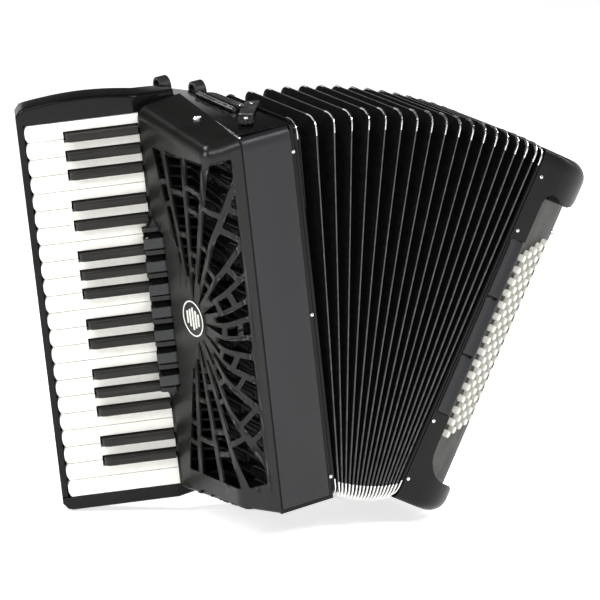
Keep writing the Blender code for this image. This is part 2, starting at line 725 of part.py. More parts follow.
def build_bellows_strap(frame, leather):
    """The short strap that holds the bellows shut, unsnapped and lying on the case."""
    plan = [(-34.0, 30.0), (-22.0, 24.0), (-6.0, 60.0), (6.0, 118.0), (-14.0, 122.0), (-24.0, 70.0)]
    rings = [[(x, y, case_top(min(x, 0.0), y) + lift) for x, y in plan] for lift in (2.0, 5.0)]
    return loft("bellows_strap", rings, frame, leather)


def stand_on_floor(frames):
    """Moves both halves so that the whole stands at zero, centred on the origin."""
    bpy.context.view_layer.update()
    corners = []
    for obj in bpy.data.objects:
        if obj.type == "MESH":
            corners += [obj.matrix_world @ vertex.co for vertex in obj.data.vertices]
    low = [min(corner[i] for corner in corners) for i in range(3)]
    high = [max(corner[i] for corner in corners) for i in range(3)]
    shift = Vector(((low[0] + high[0]) / 2, (low[1] + high[1]) / 2, low[2]))
    for frame in frames:
        frame.location = frame.location - shift
    bpy.context.view_layer.update()


def shade(obj):
    obj.data.shade_smooth()
    obj.data.set_sharp_from_angle(angle=math.radians(35.0))


def main():
    clear_scene()
    gloss = make_material("black_gloss", (0.012, 0.012, 0.014), 0.18)
    charcoal = make_material("charcoal_plastic", (0.055, 0.056, 0.055), 0.42)
    ivory = make_material("ivory_white", (0.86, 0.85, 0.80), 0.25)
    ebony = make_material("ebony_black", (0.03, 0.028, 0.026), 0.35)
    cloth = make_material("bellows_cloth", (0.02, 0.02, 0.022), 0.7)
    wood = make_material("spruce_wood", (0.62, 0.45, 0.26), 0.6)
    olive = make_material("board_grey", (0.16, 0.16, 0.14), 0.4)
    leather = make_material("black_leather", (0.025, 0.024, 0.023), 0.5)
    chrome = make_material("nickel_metal", (0.75, 0.75, 0.74), 0.2, 1.0)

    treble = make_frame("treble_frame", -LEAN)
    foot = Vector((BASS_FOOT[0], 0.0, BASS_FOOT[1])) * MM
    bass = make_frame("bass_frame", FAN - LEAN, Matrix.Rotation(-LEAN, 3, "Y") @ foot)

    build_treble_case(treble, gloss)
    build_grille(treble, charcoal)
    build_fingerboard(treble, gloss)
    build_white_keys(treble, ivory)
    build_black_keys(treble, ebony)
    build_registers(treble, gloss)
    build_reed_block("treble_reed_block", (-58.0, 70.0, 22.0), (-12.0, 90.0, 396.0), treble, wood)
    build_strap_mount(treble, chrome)
    build_bellows_strap(treble, leather)
    build_bellows(treble, cloth)
    build_bass_case(bass, gloss)
    build_button_board(bass, olive)
    build_buttons(bass, ivory)
    build_bass_registers(bass, gloss)
    build_reed_block("bass_reed_block", (14.0, 106.0, 30.0), (66.0, 122.0, 386.0), bass, wood)
    build_hand_strap(bass, leather)
    build_air_button(bass, chrome)
    for obj in bpy.data.objects:
        if obj.type == "MESH":
            shade(obj)
    stand_on_floor([treble, bass])


main()
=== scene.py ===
"""Looks for the piano accordion: every shape is built in millimetres in the frame of its own half.

The treble half's frame has X towards the bass hand, Y to the back and Z up the instrument; the bass
half's frame is the same turned by the fan.  Both are placed in the world from the bellows' hinge.
"""

import json
import math

import bmesh
import bpy
from mathutils import Matrix, Vector


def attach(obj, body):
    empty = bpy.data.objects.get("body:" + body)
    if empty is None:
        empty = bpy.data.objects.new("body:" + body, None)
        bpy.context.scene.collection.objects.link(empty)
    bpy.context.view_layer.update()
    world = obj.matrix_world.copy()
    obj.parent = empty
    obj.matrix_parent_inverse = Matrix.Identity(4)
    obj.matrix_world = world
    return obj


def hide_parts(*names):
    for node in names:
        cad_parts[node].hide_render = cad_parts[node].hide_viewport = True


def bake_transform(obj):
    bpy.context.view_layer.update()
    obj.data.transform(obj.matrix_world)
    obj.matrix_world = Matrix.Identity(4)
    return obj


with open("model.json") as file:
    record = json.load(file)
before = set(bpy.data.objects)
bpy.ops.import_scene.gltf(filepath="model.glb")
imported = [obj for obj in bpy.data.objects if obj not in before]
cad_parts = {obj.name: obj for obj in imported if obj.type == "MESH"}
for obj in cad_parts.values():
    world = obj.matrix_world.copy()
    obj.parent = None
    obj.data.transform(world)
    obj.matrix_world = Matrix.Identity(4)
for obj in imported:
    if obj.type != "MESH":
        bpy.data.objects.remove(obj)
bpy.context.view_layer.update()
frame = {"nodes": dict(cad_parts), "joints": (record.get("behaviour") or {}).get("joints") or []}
MM = 0.001

# The stance and the two halves, as the solids have them.
LEAN = math.radians(9.9)
FAN = math.radians(33.6)
BASS_FOOT = (73.3, -23.7)
HINGE = Vector((BASS_FOOT[0] / 2, 80.0, BASS_FOOT[1] / 2)) * MM

CASE_HEIGHT = 418.0
CASE_BACK_HEIGHT = 441.0
CASE_DEPTH = 165.0
PANEL_WIDTH = 66.0
PANEL_BULGE = 4.5
CASE_WALL = 7.0
CASE_FRONT = 1.0

HOOD_LEFT = 110.0
HOOD_FLARE = 8.6
HOOD_BACK = 126.0
HOOD_CORNER = 13.0
HOOD_SEAM = 66.3

KEY_TURN = math.radians(24.0)
KEY_ORIGIN = (-118.7, 132.0, 12.7)
WHITE_COUNT = 22
WHITE_PITCH = 19.0
WHITE_LENGTH = 118.0
WHITE_DEPTH = 11.0
KEY_GAP = 0.8
BLACK_LENGTH = 76.0
BLACK_WIDTH = 10.0
BLACK_RISE = 9.0
BLACK_CLEARANCE = 1.2
SHARPS_AFTER = {1: 2.0, 2: 0.0, 3: -2.0, 5: 1.5, 6: -1.5}
WHITES_PER_OCTAVE = 7
KEYS_LOW = KEY_ORIGIN[2]
KEYS_HIGH = KEYS_LOW + WHITE_COUNT * WHITE_PITCH

BED_DEPTH = 19.0
BOARD_DEPTH = 31.0
BOARD_END = 16.0
WHITE_INNER = -3.5
BLACK_INNER = -1.6
AXLE_ALONG = -10.0
AXLE_DEPTH = 11.5
PALLET_THICKNESS = 6.0
PALLET_LENGTH = 34.0
WHITE_PALLET = (16.0, 9.5)
BLACK_PALLET = (62.0, 9.0)
ARM_CROWDING = 0.055
ARM_DROP = 2.5
ARM_REACH = 105.0
BOARD_CASE_SIDE = -PANEL_WIDTH - 0.3
BOARD_RUN_ON = 40.0

REGISTER_COUNT = 7
REGISTER_PITCH = 25.7
REGISTER_FIRST = 293.5
REGISTER_LENGTH = 24.0
REGISTER_LIFT = 13.5
REGISTER_OUT = 7.0

FOLD_COUNT = 17
FOLD_DEPTH = 17.0
FOLD_CORNER = 13.0
FOLD_TIGHTENING = 0.35
FOLD_SPREAD = 0.39
FOLD_ENDS = (0.03, 0.0)
FOLD_SKIN = 1.1
BELLOWS_DEPTH = 158.0
BELLOWS_TOP = 421.0
BELLOWS_SAG = 7.0
BELLOWS_CROWN = 13.0
BELLOWS_FRAME = 4.5

BASS_LOW = 3.0
BASS_TOP = 413.0
BASS_WIDTH = 86.0
BASS_FRONT = 21.0
BASS_SIDE_START = 56.0
BASS_DEPTH = 160.0
BOARD_TURN = math.radians(38.0)
BOARD_START = 5.0
BOARD_LENGTH = 72.0
BOARD_LOW = 44.0
BOARD_TOP = 364.0
BOARD_SINK = 6.0
BOARD_THICKNESS = 3.0

BUTTON_COLUMNS = 16
BUTTON_ROWS = 5
BUTTON_PITCH = 13.73
BUTTON_ROW_PITCH = 12.5
BUTTON_SLANT = 6.3
BUTTON_FIRST_ROW = 11.0
BUTTON_TOP = 294.4
BUTTON_RADIUS = 4.0
BUTTON_RISE = 7.0
CARRIER_DROP = 10.0

BASS_REGISTER_LENGTH = 66.0
BASS_REGISTER_PITCH = 68.2
BASS_REGISTER_LOW = 107.5
BASS_REGISTER_SPAN = (2.6, 19.4)
BASS_REGISTER_THICKNESS = 5.0
BASS_REGISTER_PROUD = 2.0

STRAP_THICKNESS = 4.0
STRAP_SPAN = (52.0, 352.0)
STRAP_WIDTH = (98.0, 154.0)
STRAP_REACH = 17.0
PAD_HEIGHT = 4.0
STRAP_SIDE = BASS_WIDTH + PAD_HEIGHT + 0.3
MOUNT_POSTS = (-61.0, -20.0)
AIR_BUTTON_RADIUS = 8.0
AIR_BUTTON_RISE = 7.0
AIR_BUTTON_PLACE = (70.0, 330.0)

# Pins that hold the bellows to each half, in the half's own frame.
PANEL_PINS = [(-3.5, -0.4, 389.0), (-2.4, -0.4, 208.0), (-0.9, -0.3, 25.0)]
BASS_PINS = [(6.6, 0.0, 383.0), (6.0, 0.0, 320.0), (4.0, 0.0, 96.0), (3.6, 0.0, 28.0)]

# Camera, in metres and degrees; the lens is for a 36 mm sensor.
CAMERA_PLACE = (-2.90952, -5.20478, 1.62906)
CAMERA_TURN = (76.8448, -2.7412, -28.5758)
CAMERA_LENS = 341.08


def halves():
    """World matrices of the treble half and the bass half."""
    hinge = next(joint for joint in frame["joints"] if joint["name"] == "bellows_fan")
    lean = Matrix.Rotation(-LEAN, 4, "Y")
    treble = Matrix.Translation(Vector(hinge["pos_m"]) - lean @ HINGE) @ lean
    foot = Vector((BASS_FOOT[0], 0.0, BASS_FOOT[1])) * MM
    return treble, treble @ Matrix.Translation(foot) @ Matrix.Rotation(FAN, 4, "Y")


TREBLE, BASS = halves()


# ---------------------------------------------------------------- materials

class Finish:
    """A node material: the shader's own sockets are set first, and textures drive the rest."""

    def __init__(self, name, **values):
        self.material = bpy.data.materials.new(name)
        self.material.use_nodes = True
        self.tree = self.material.node_tree
        self.shader = self.tree.nodes["Principled BSDF"]
        self.bump_source = None
        for label, value in values.items():
            socket = self.shader.inputs[label.replace("_", " ").title().replace("Ior", "IOR")]
            socket.default_value = (*value, 1.0) if isinstance(value, tuple) else value
        self.place = self.tree.nodes.new("ShaderNodeTexCoord").outputs["Object"]

    def node(self, kind, inputs=None, **settings):
        node = self.tree.nodes.new(kind)
        for name, value in settings.items():
            setattr(node, name, value)
        for name, value in (inputs or {}).items():
            if isinstance(value, bpy.types.NodeSocket):
                self.tree.links.new(value, node.inputs[name])
            else:
                node.inputs[name].default_value = value
        return node

    def mapped(self, half, stretch=(1.0, 1.0, 1.0)):
        """Object coordinates turned into a half's own frame and stretched along its axes."""
        turn = -LEAN if half is TREBLE else FAN - LEAN
        turned = self.node("ShaderNodeVectorRotate", {"Vector": self.place, "Angle": -turn},
                           rotation_type="Y_AXIS")
        inputs = {0: turned.outputs[0], 1: stretch}
        return self.node("ShaderNodeVectorMath", inputs, operation="MULTIPLY").outputs[0]

    def noise(self, scale, detail=4.0, roughness=0.55, vector=None):
        inputs = {"Vector": vector or self.place, "Scale": scale,
                  "Detail": detail, "Roughness": roughness}
        return self.node("ShaderNodeTexNoise", inputs).outputs["Fac"]

    def cells(self, scale, vector=None):
        inputs = {"Vector": vector or self.place, "Scale": scale}
        return self.node("ShaderNodeTexVoronoi", inputs, feature="DISTANCE_TO_EDGE").outputs["Distance"]

    def bands(self, scale, distortion, vector, direction="X"):
        inputs = {"Vector": vector, "Scale": scale, "Distortion": distortion, "Detail": 3.0}
        return self.node("ShaderNodeTexWave", inputs, bands_direction=direction).outputs["Fac"]

    def mapped_range(self, source, low, high, start, end):
        inputs = {"Value": source, "From Min": low, "From Max": high, "To Min": start, "To Max": end}
        return self.node("ShaderNodeMapRange", inputs).outputs["Result"]

    def colour(self, source, dark, light, low=0.35, high=0.65):
        ramp = self.node("ShaderNodeValToRGB", {"Fac": source})
        ramp.color_ramp.elements[0].position = low
        ramp.color_ramp.elements[0].color = (*dark, 1.0)
        ramp.color_ramp.elements[1].position = high
        ramp.color_ramp.elements[1].color = (*light, 1.0)
        self.tree.links.new(ramp.outputs["Color"], self.shader.inputs["Base Color"])

    def rough(self, source, smooth, dull, low=0.3, high=0.7):
        value = self.mapped_range(source, low, high, smooth, dull)
        self.tree.links.new(value, self.shader.inputs["Roughness"])

    def bump(self, source, strength, depth):
        """Adds a layer of relief, the depth in millimetres, over the layers before it."""
        inputs = {"Height": source, "Strength": strength, "Distance": depth * MM}
        if self.bump_source:
            inputs["Normal"] = self.bump_source
        self.bump_source = self.node("ShaderNodeBump", inputs).outputs["Normal"]
        self.tree.links.new(self.bump_source, self.shader.inputs["Normal"])


def make_plain(name, tone, dull, relief, **values):
    """A material of noise alone.

    tone is (scale, detail, dark, light), dull is (scale, detail, smoothest, roughest), and each
    layer of relief is (scale, detail, strength, depth).
    """
    finish = Finish(name, **values)
    finish.colour(finish.noise(*tone[:2]), *tone[2:])
    finish.rough(finish.noise(*dull[:2]), *dull[2:])
    for scale, detail, strength, depth in relief:
        finish.bump(finish.noise(scale, detail), strength, depth)
    return finish.material


def make_gloss():
    """Black lacquer, with smears in its shine and a faint orange peel."""
    return make_plain("black_gloss", (9.0, 4.0, (0.0025, 0.0025, 0.003), (0.006, 0.006, 0.0065)),
                      (28.0, 5.0, 0.1, 0.18), [(60.0, 2.0, 0.15, 0.08), (1900.0, 2.0, 0.12, 0.02)],
                      specular_ior_level=0.05, coat_weight=0.25, coat_roughness=0.04)


def make_satin(name, dark, light, half, smooth, dull, shine=0.38):
    """Moulded satin plastic: a fine eggshell surface with faint flow along the moulding."""
    finish = Finish(name, specular_ior_level=shine)
    flow = finish.noise(14.0, 3.0, vector=finish.mapped(half, (1.0, 1.0, 0.25)))
    finish.colour(flow, dark, light)
    finish.rough(finish.noise(45.0, 5.0), smooth, dull)
    finish.bump(finish.noise(1500.0, 3.0), 0.3, 0.03)
    finish.bump(flow, 0.25, 0.25)
    return finish.material


def make_ivory(name, dark, light, smooth, dull, half):
    """Celluloid with faint streaks along the instrument."""
    finish = Finish(name, specular_ior_level=0.5)
    grain = finish.noise(30.0, 4.0, vector=finish.mapped(half, (0.4, 1.0, 3.0)))
    finish.colour(grain, dark, light, 0.3, 0.7)
    finish.rough(finish.noise(70.0, 5.0), smooth, dull)
    finish.bump(finish.noise(900.0, 2.0), 0.1, 0.02)
    return finish.material


def make_ebony():
    """Stained wood whose grain runs along the keyboard's depth."""
    finish = Finish("ebony_black", specular_ior_level=0.25)
    grain = finish.noise(60.0, 5.0, vector=finish.mapped(TREBLE, (0.25, 0.25, 4.0)))
    finish.colour(grain, (0.007, 0.0065, 0.006), (0.018, 0.017, 0.015))
    finish.rough(finish.noise(50.0), 0.36, 0.5)
    finish.bump(grain, 0.35, 0.08)
    return finish.material


def make_cloth():
    """Bellows cloth: a fine plain weave over card."""
    finish = Finish("bellows_cloth", specular_ior_level=0.04, sheen_weight=0.05, sheen_roughness=0.35)
    across = finish.bands(700.0, 0.6, finish.place, "Y")
    along = finish.bands(700.0, 0.6, finish.place, "Z")
    weave = finish.node("ShaderNodeMath", {0: across, 1: along}, operation="MULTIPLY").outputs[0]
    finish.colour(finish.noise(120.0, 5.0), (0.0014, 0.0014, 0.0017), (0.0036, 0.0036, 0.0040))
    finish.rough(finish.noise(55.0), 0.7, 0.9)
    finish.bump(weave, 0.5, 0.12)
    return finish.material


def make_tape():
    """The strip that binds each fold's edge: a grey well above the cloth's that partly paints the highlight
    along each ridge, its tone varying at random.
    """
    finish = Finish("fold_tape", specular_ior_level=0.5)
    finish.colour(finish.noise(160.0, 5.0), (0.035, 0.035, 0.037), (0.075, 0.075, 0.08))
    finish.rough(finish.noise(90.0), 0.38, 0.6)
    finish.bump(finish.cells(900.0), 0.3, 0.05)
    return finish.material


def make_nickel():
    return make_plain("nickel_metal", (35.0, 4.0, (0.80, 0.80, 0.79), (0.92, 0.92, 0.91)),
                      (140.0, 6.0, 0.12, 0.3), [(700.0, 3.0, 0.08, 0.03)], metallic=1.0)


def make_leather():
    """Pebbled leather with softer, wider creases."""
    finish = Finish("black_leather", specular_ior_level=0.4)
    finish.colour(finish.noise(70.0, 5.0), (0.004, 0.0039, 0.0037), (0.012, 0.0115, 0.011))
    finish.rough(finish.noise(60.0, 4.0), 0.38, 0.62)
    finish.bump(finish.cells(620.0), 0.6, 0.12)
    finish.bump(finish.noise(45.0, 4.0), 0.5, 0.4)
    return finish.material


def make_wood():
    """Bare spruce with its rings."""
    finish = Finish("spruce_wood")
    rings = finish.bands(60.0, 4.0, finish.mapped(TREBLE, (3.0, 3.0, 0.3)))
    finish.colour(rings, (0.50, 0.33, 0.17), (0.68, 0.50, 0.30), 0.1, 0.9)
    finish.rough(finish.noise(80.0), 0.5, 0.7)
    finish.bump(rings, 0.3, 0.1)
    return finish.material


# The pallets' felt, coloured near black: painted shade for the dark inside of the grille hood.
def make_felt():
    return make_plain("pallet_felt", (420.0, 6.0, (0.012, 0.012, 0.013), (0.035, 0.034, 0.033)),
                      (200.0, 4.0, 0.8, 0.95), [(1500.0, 4.0, 0.7, 0.3)],
                      sheen_weight=0.3, sheen_roughness=0.5)


def make_shaded_arm_metal():
    """The key arms, coloured near black: painted shade for the dark inside of the grille hood."""
    return make_plain("arm_metal", (50.0, 4.0, (0.014, 0.014, 0.0145), (0.03, 0.03, 0.031)),
                      (120.0, 4.0, 0.4, 0.55), [(800.0, 4.0, 0.1, 0.03)], metallic=0.6)


def make_pallet():
    """Pallet wood with its grain, coloured near black: painted shade for the dark inside of the grille hood.
    """
    finish = Finish("pallet_wood", specular_ior_level=0.25)
    grain = finish.noise(90.0, 5.0, vector=finish.mapped(TREBLE, (1.0, 0.2, 1.0)))
    finish.colour(grain, (0.002, 0.0026, 0.0024), (0.006, 0.0075, 0.0065))
    finish.rough(finish.noise(60.0), 0.45, 0.6)
    finish.bump(grain, 0.3, 0.08)
    return finish.material


def make_floor():
    """A lit white sweep, so the floor shows no edge and little shadow."""
    return make_plain("floor_white", (3.0, 4.0, (0.93, 0.93, 0.93), (0.95, 0.95, 0.95)),
                      (20.0, 4.0, 0.7, 0.85), [], specular_ior_level=0.1,
                      emission_color=(1.0, 1.0, 1.0), emission_strength=0.72)


GLOSS = make_gloss()
CHARCOAL = make_satin("charcoal_plastic", (0.004, 0.004, 0.0037), (0.008, 0.008, 0.0074),
                      TREBLE, 0.26, 0.36, 0.32)
PANEL = make_satin("panel_satin", (0.008, 0.008, 0.0098), (0.013, 0.013, 0.0155), TREBLE, 0.30, 0.40)
# The tabs' faces: a slate lighter than the gloss black of their facets, partly painted light.
SATIN_TAB = make_satin("tab_satin", (0.013, 0.0145, 0.0155), (0.021, 0.023, 0.024),
                       TREBLE, 0.20, 0.30)
BASS_SATIN = make_satin("bass_satin", (0.0025, 0.0025, 0.0025), (0.005, 0.005, 0.0048),
                        BASS, 0.26, 0.38, 0.2)
BASS_TAB = make_satin("bass_tab_satin", (0.008, 0.0085, 0.0105), (0.014, 0.0145, 0.017),
                      BASS, 0.22, 0.34, 0.3)
OLIVE = make_satin("board_grey", (0.018, 0.018, 0.0145), (0.028, 0.028, 0.023),
                   BASS, 0.42, 0.55, 0.2)
IVORY = make_ivory("ivory_white", (0.80, 0.79, 0.73), (0.86, 0.855, 0.80), 0.22, 0.36, TREBLE)
STUD_IVORY = make_ivory("button_white", (0.66, 0.65, 0.59), (0.75, 0.74, 0.68), 0.18, 0.3, BASS)
EBONY = make_ebony()
CLOTH = make_cloth()
TAPE = make_tape()
NICKEL = make_nickel()
LEATHER = make_leather()
WOOD = make_wood()
SHADED_ARM_METAL = make_shaded_arm_metal()
PALLET = make_pallet()
FELT = make_felt()
ACTION = [SHADED_ARM_METAL, PALLET, FELT, NICKEL]


# ---------------------------------------------------------------- mesh helpers

def loft(shape, rings, closed=False, capped=True, material=0):
    """Bridges rings of equal length, open and capped or closed end to end."""
    rows = [[shape.verts.new(point) for point in ring] for ring in rings]
    count = len(rows[0])
    spans = len(rows) if closed else len(rows) - 1
    faces = []
    for i in range(spans):
        near, far = rows[i], rows[(i + 1) % len(rows)]
        for j in range(count):
            k = (j + 1) % count
            faces.append(shape.faces.new((near[j], near[k], far[k], far[j])))
    if capped and not closed:
        faces.append(shape.faces.new(rows[0][::-1]))
        faces.append(shape.faces.new(rows[-1]))
    for face in faces:
        face.material_index = material
    return faces


def prism(shape, outline, low, high, material=0):
    """An outline in X and Y, extruded along Z."""
    return loft(shape, [[(x, y, z) for x, y in outline] for z in (low, high)], material=material)


def box(shape, low, high, material=0):
    outline = [(low[0], low[1]), (high[0], low[1]), (high[0], high[1]), (low[0], high[1])]
    return prism(shape, outline, low[2], high[2], material)


def lathe(shape, profile, place, steps=24, material=0):
    """A turned solid: (radius, height) pairs round the Z axis of a placing matrix."""
    rings = []
    for radius, height in profile:
        ring = []
        for i in range(steps):
            angle = 2 * math.pi * i / steps
            point = Vector((radius * math.cos(angle), radius * math.sin(angle), height))
            ring.append(place @ point)
        rings.append(ring)
    return loft(shape, rings, material=material)


def sweep(shape, path, section, side_axis, closed=False, material=0):
    """A section, (side, out) pairs, carried along a path; side_axis stays across the path."""
    rings = []
    count = len(path)
    for i, point in enumerate(path):
        before = Vector(path[i - 1] if closed or i else path[0])
        after = Vector(path[(i + 1) % count] if closed or i < count - 1 else path[-1])
        along = (after - before).normalized()
        side = (Vector(side_axis) - along * along.dot(Vector(side_axis))).normalized()
        out = along.cross(side)
        rings.append([Vector(point) + side * u + out * v for u, v in section])
    return loft(shape, rings, closed=closed, capped=not closed, material=material)


def circle(radius, steps=8):
    points = []
    for i in range(steps):
        angle = 2 * math.pi * i / steps
        points.append((radius * math.cos(angle), radius * math.sin(angle)))
    return points


def arc(centre, radius, start, end, steps):
    """Points on a circle, or an ellipse for two radii, from one angle in degrees to another."""
    across, up = radius if isinstance(radius, tuple) else (radius, radius)
    points = []
    for i in range(steps + 1):
        angle = math.radians(start + (end - start) * i / steps)
        points.append((centre[0] + across * math.cos(angle), centre[1] + up * math.sin(angle)))
    return points


def strip(points, thickness):
    """The outline of a bar of one thickness that follows a line of points."""
    left, right = [], []
    for i, point in enumerate(points):
        along = Vector(points[min(i + 1, len(points) - 1)]) - Vector(points[max(i - 1, 0)])
        along.normalize()
        side = Vector((-along.y, along.x)) * thickness / 2
        left.append(tuple(Vector(point) + side))
        right.append(tuple(Vector(point) - side))
    return left + right[::-1]


def rounded(outline, radius, steps=3, sharpest=20.0):
    """Replaces each corner of a flat outline by a small curve."""
    result = []
    count = len(outline)
    for i, corner in enumerate(outline):
        here = Vector(corner)
        back = Vector(outline[i - 1]) - here
        ahead = Vector(outline[(i + 1) % count]) - here
        if back.length < 1e-6 or ahead.length < 1e-6:
            continue
        turn = math.degrees(math.pi - back.angle(ahead))
        if turn < sharpest:
            result.append(tuple(here))
            continue
        reach = min(radius, back.length * 0.45, ahead.length * 0.45)
        start = here + back.normalized() * reach
        end = here + ahead.normalized() * reach
        for step in range(steps + 1):
            share = step / steps
            middle = start.lerp(here, share).lerp(here.lerp(end, share), share)
            result.append(tuple(middle))
    return result


def soften(shape, width, segments=3, sharpest=28.0):
    edges = []
    for edge in shape.edges:
        if len(edge.link_faces) == 2 and edge.calc_face_angle(0.0) > math.radians(sharpest):
            edges.append(edge)
    bmesh.ops.bevel(shape, geom=edges, offset=width, offset_type="OFFSET", segments=segments,
                    profile=0.5, affect="EDGES", clamp_overlap=True)


def make_object(name, shape, half, materials):
    """Writes a shape built in a half's millimetres as an object in world metres."""
    bmesh.ops.recalc_face_normals(shape, faces=shape.faces)
    shape.transform(half @ Matrix.Scale(MM, 4))
    mesh = bpy.data.meshes.new(name)
    shape.to_mesh(mesh)
    shape.free()
    for material in materials:
        mesh.materials.append(material)
    obj = bpy.data.objects.new(name, mesh)
    bpy.context.scene.collection.objects.link(obj)
    return obj


def smooth(obj, angle):
    obj.data.shade_smooth()
    obj.data.set_sharp_from_angle(angle=math.radians(angle))


def shade(obj, angle=38.0):
    smooth(obj, angle)
    normals = obj.modifiers.new("normals", "WEIGHTED_NORMAL")
    normals.keep_sharp = True


def fit(obj, body, stands_for=()):
    """The body that a piece rides and the nodes that it replaces, which are hidden."""
    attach(obj, body)
    if stands_for:
        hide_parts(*stands_for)


def add_piece(name, shape, half, body, materials, stands_for=(), angle=38.0):
    obj = make_object(name, shape, half, materials)
    shade(obj, angle)
    fit(obj, body, stands_for)


def combine(target, others, operation):
    """Applies a Boolean with each of the other objects, which are then removed."""
    for other in others:
        modifier = target.modifiers.new(operation, "BOOLEAN")
        modifier.operation = operation
        modifier.solver = "EXACT"
        modifier.object = other
    bpy.context.view_layer.update()
    evaluated = target.evaluated_get(bpy.context.evaluated_depsgraph_get())
    target.data = bpy.data.meshes.new_from_object(evaluated)
    target.modifiers.clear()
    for other in others:
        bpy.data.objects.remove(other, do_unlink=True)


def box_cutter(name, low, high, half):
    """A box for a Boolean to take away."""
    shape = bmesh.new()
    box(shape, low, high)
    return make_object(name, shape, half, [])


def bevel_modifier(obj, width, segments=3, angle=30.0):
    bevel = obj.modifiers.new("bevel", "BEVEL")
    bevel.width = width * MM
    bevel.segments = segments
    bevel.limit_method = "ANGLE"
    bevel.angle_limit = math.radians(angle)


def filled(outline, holes):
    """A flat mesh, in X and Y, of an outline with holes in it."""
    curve = bpy.data.curves.new("sheet", "CURVE")
    curve.dimensions = "2D"
    curve.fill_mode = "BOTH"
    for loop in [outline, *holes]:
        spline = curve.splines.new("POLY")
        spline.points.add(len(loop) - 1)
        for point, (x, y) in zip(spline.points, loop):
            point.co = (x, y, 0.0, 1.0)
        spline.use_cyclic_u = True
    holder = bpy.data.objects.new("sheet", curve)
    mesh = bpy.data.meshes.new_from_object(holder)
    shape = bmesh.new()
    shape.from_mesh(mesh)
    bpy.data.objects.remove(holder)
    bpy.data.curves.remove(curve)
    bpy.data.meshes.remove(mesh)
    bmesh.ops.remove_doubles(shape, verts=shape.verts, dist=0.01)
    return shape


def thicken(shape, depth):
    """Gives a flat mesh in X and Y a thickness below it."""
    extruded = bmesh.ops.extrude_face_region(shape, geom=list(shape.faces))
    moved = [item for item in extruded["geom"] if isinstance(item, bmesh.types.BMVert)]
    bmesh.ops.translate(shape, verts=moved, vec=(0.0, 0.0, depth))


# ---------------------------------------------------------------- shared places

def key_point(along, depth):
    """X and Y of a point on the keyboard: along a key from its inner end, and below its top."""
    x = KEY_ORIGIN[0] - along * math.cos(KEY_TURN) + depth * math.sin(KEY_TURN)
    y = KEY_ORIGIN[1] + along * math.sin(KEY_TURN) + depth * math.cos(KEY_TURN)
    return (x, y)


def key_points(*places):
    return [key_point(along, depth) for along, depth in places]


def board_point(across, rise):
    """X and Y of a point on the button board: across it from the front, and above its face."""
    x = BASS_FRONT + across * math.cos(BOARD_TURN) + (rise - BOARD_SINK) * math.sin(BOARD_TURN)
    y = across * math.sin(BOARD_TURN) - (rise - BOARD_SINK) * math.cos(BOARD_TURN)
    return (x, y)


def case_top(x, y):
    share = (y + PANEL_BULGE) / (CASE_DEPTH + PANEL_BULGE)
    return CASE_HEIGHT + (CASE_BACK_HEIGHT - CASE_HEIGHT) * share * -x / PANEL_WIDTH


def front_line(x):
    """Y of the treble case's front at one X: it bulges forwards towards the grille."""
    return -PANEL_BULGE * -x / PANEL_WIDTH


# ---------------------------------------------------------------- treble case and panel

PANEL_LEFT = -64.2
PANEL_RIGHT = -5.0
PANEL_LOW = 5.0
PANEL_HIGH = 416.5
PANEL_ROLL = 6.5
PANEL_FALL = 14.0
PANEL_PROUD = 0.9
PANEL_THICKNESS = 2.2


def build_treble_case():
    """The case: hollow, open to the bellows, and notched where the front panel rolls back."""
    shape = bmesh.new()
    slices = 10
    rings = []
    for i in range(slices + 1):
        share = i / slices
        left_y = CASE_FRONT - PANEL_BULGE + (CASE_DEPTH + PANEL_BULGE - CASE_FRONT) * share
        right_y = CASE_FRONT + (CASE_DEPTH - CASE_FRONT) * share
        rings.append([(0.0, right_y, 0.0), (-PANEL_WIDTH, left_y, 0.0),
                      (-PANEL_WIDTH, left_y, case_top(-PANEL_WIDTH, left_y)),
                      (0.0, right_y, case_top(0.0, right_y))])
    loft(shape, rings)
    case = make_object("treble_case_shell", shape, TREBLE, [GLOSS])
    cutters = [
        box_cutter("hollow", (CASE_WALL - PANEL_WIDTH, CASE_WALL + 3.0, CASE_WALL),
                   (CASE_WALL, CASE_DEPTH - CASE_WALL, CASE_HEIGHT - CASE_WALL), TREBLE),
        box_cutter("notch", (PANEL_LEFT - 0.4, -9.0, PANEL_HIGH - PANEL_FALL - 0.5),
                   (PANEL_RIGHT + 0.4, PANEL_ROLL + 1.8, 470.0), TREBLE),
    ]
    combine(case, cutters, "DIFFERENCE")
    bevel_modifier(case, 2.2, 4)
    shade(case)
    fit(case, "treble", ("treble_case",))


def build_front_panel():
    """The satin front plate, whose top edge rolls back into the case's notch."""
    left, right = PANEL_LEFT, PANEL_RIGHT
    rows = [(PANEL_LOW, 1.2), (PANEL_LOW + 0.6, 0.3), (PANEL_LOW + 1.6, 0.0), (PANEL_LOW + 30.0, 0.0),
            (PANEL_HIGH - PANEL_FALL - 30.0, 0.0)]
    for i in range(11):
        angle = math.radians(90.0 * i / 10)
        rows.append((PANEL_HIGH - PANEL_FALL * (1.0 - math.sin(angle)),
                     PANEL_ROLL * (1.0 - math.cos(angle))))
    edge = [(left, 1.6), (left + 0.5, 0.5), (left + 1.5, 0.0)]
    edge += [(left + 1.5 + (right - left - 3.0) * i / 6, 0.0) for i in range(1, 6)]
    edge += [(right - 1.5, 0.0), (right - 0.5, 0.5), (right, 1.6)]
    rings = []
    for z, back in rows:
        front = [(x, front_line(x) - PANEL_PROUD + back + drop, z) for x, drop in edge]
        rear = [(x, front_line(x) - PANEL_PROUD + back + PANEL_THICKNESS, z)
                for x, _ in reversed(edge)]
        rings.append(front + rear)
    shape = bmesh.new()
    loft(shape, rings)
    add_piece("front_panel", shape, TREBLE, "treble", [PANEL], angle=50.0)


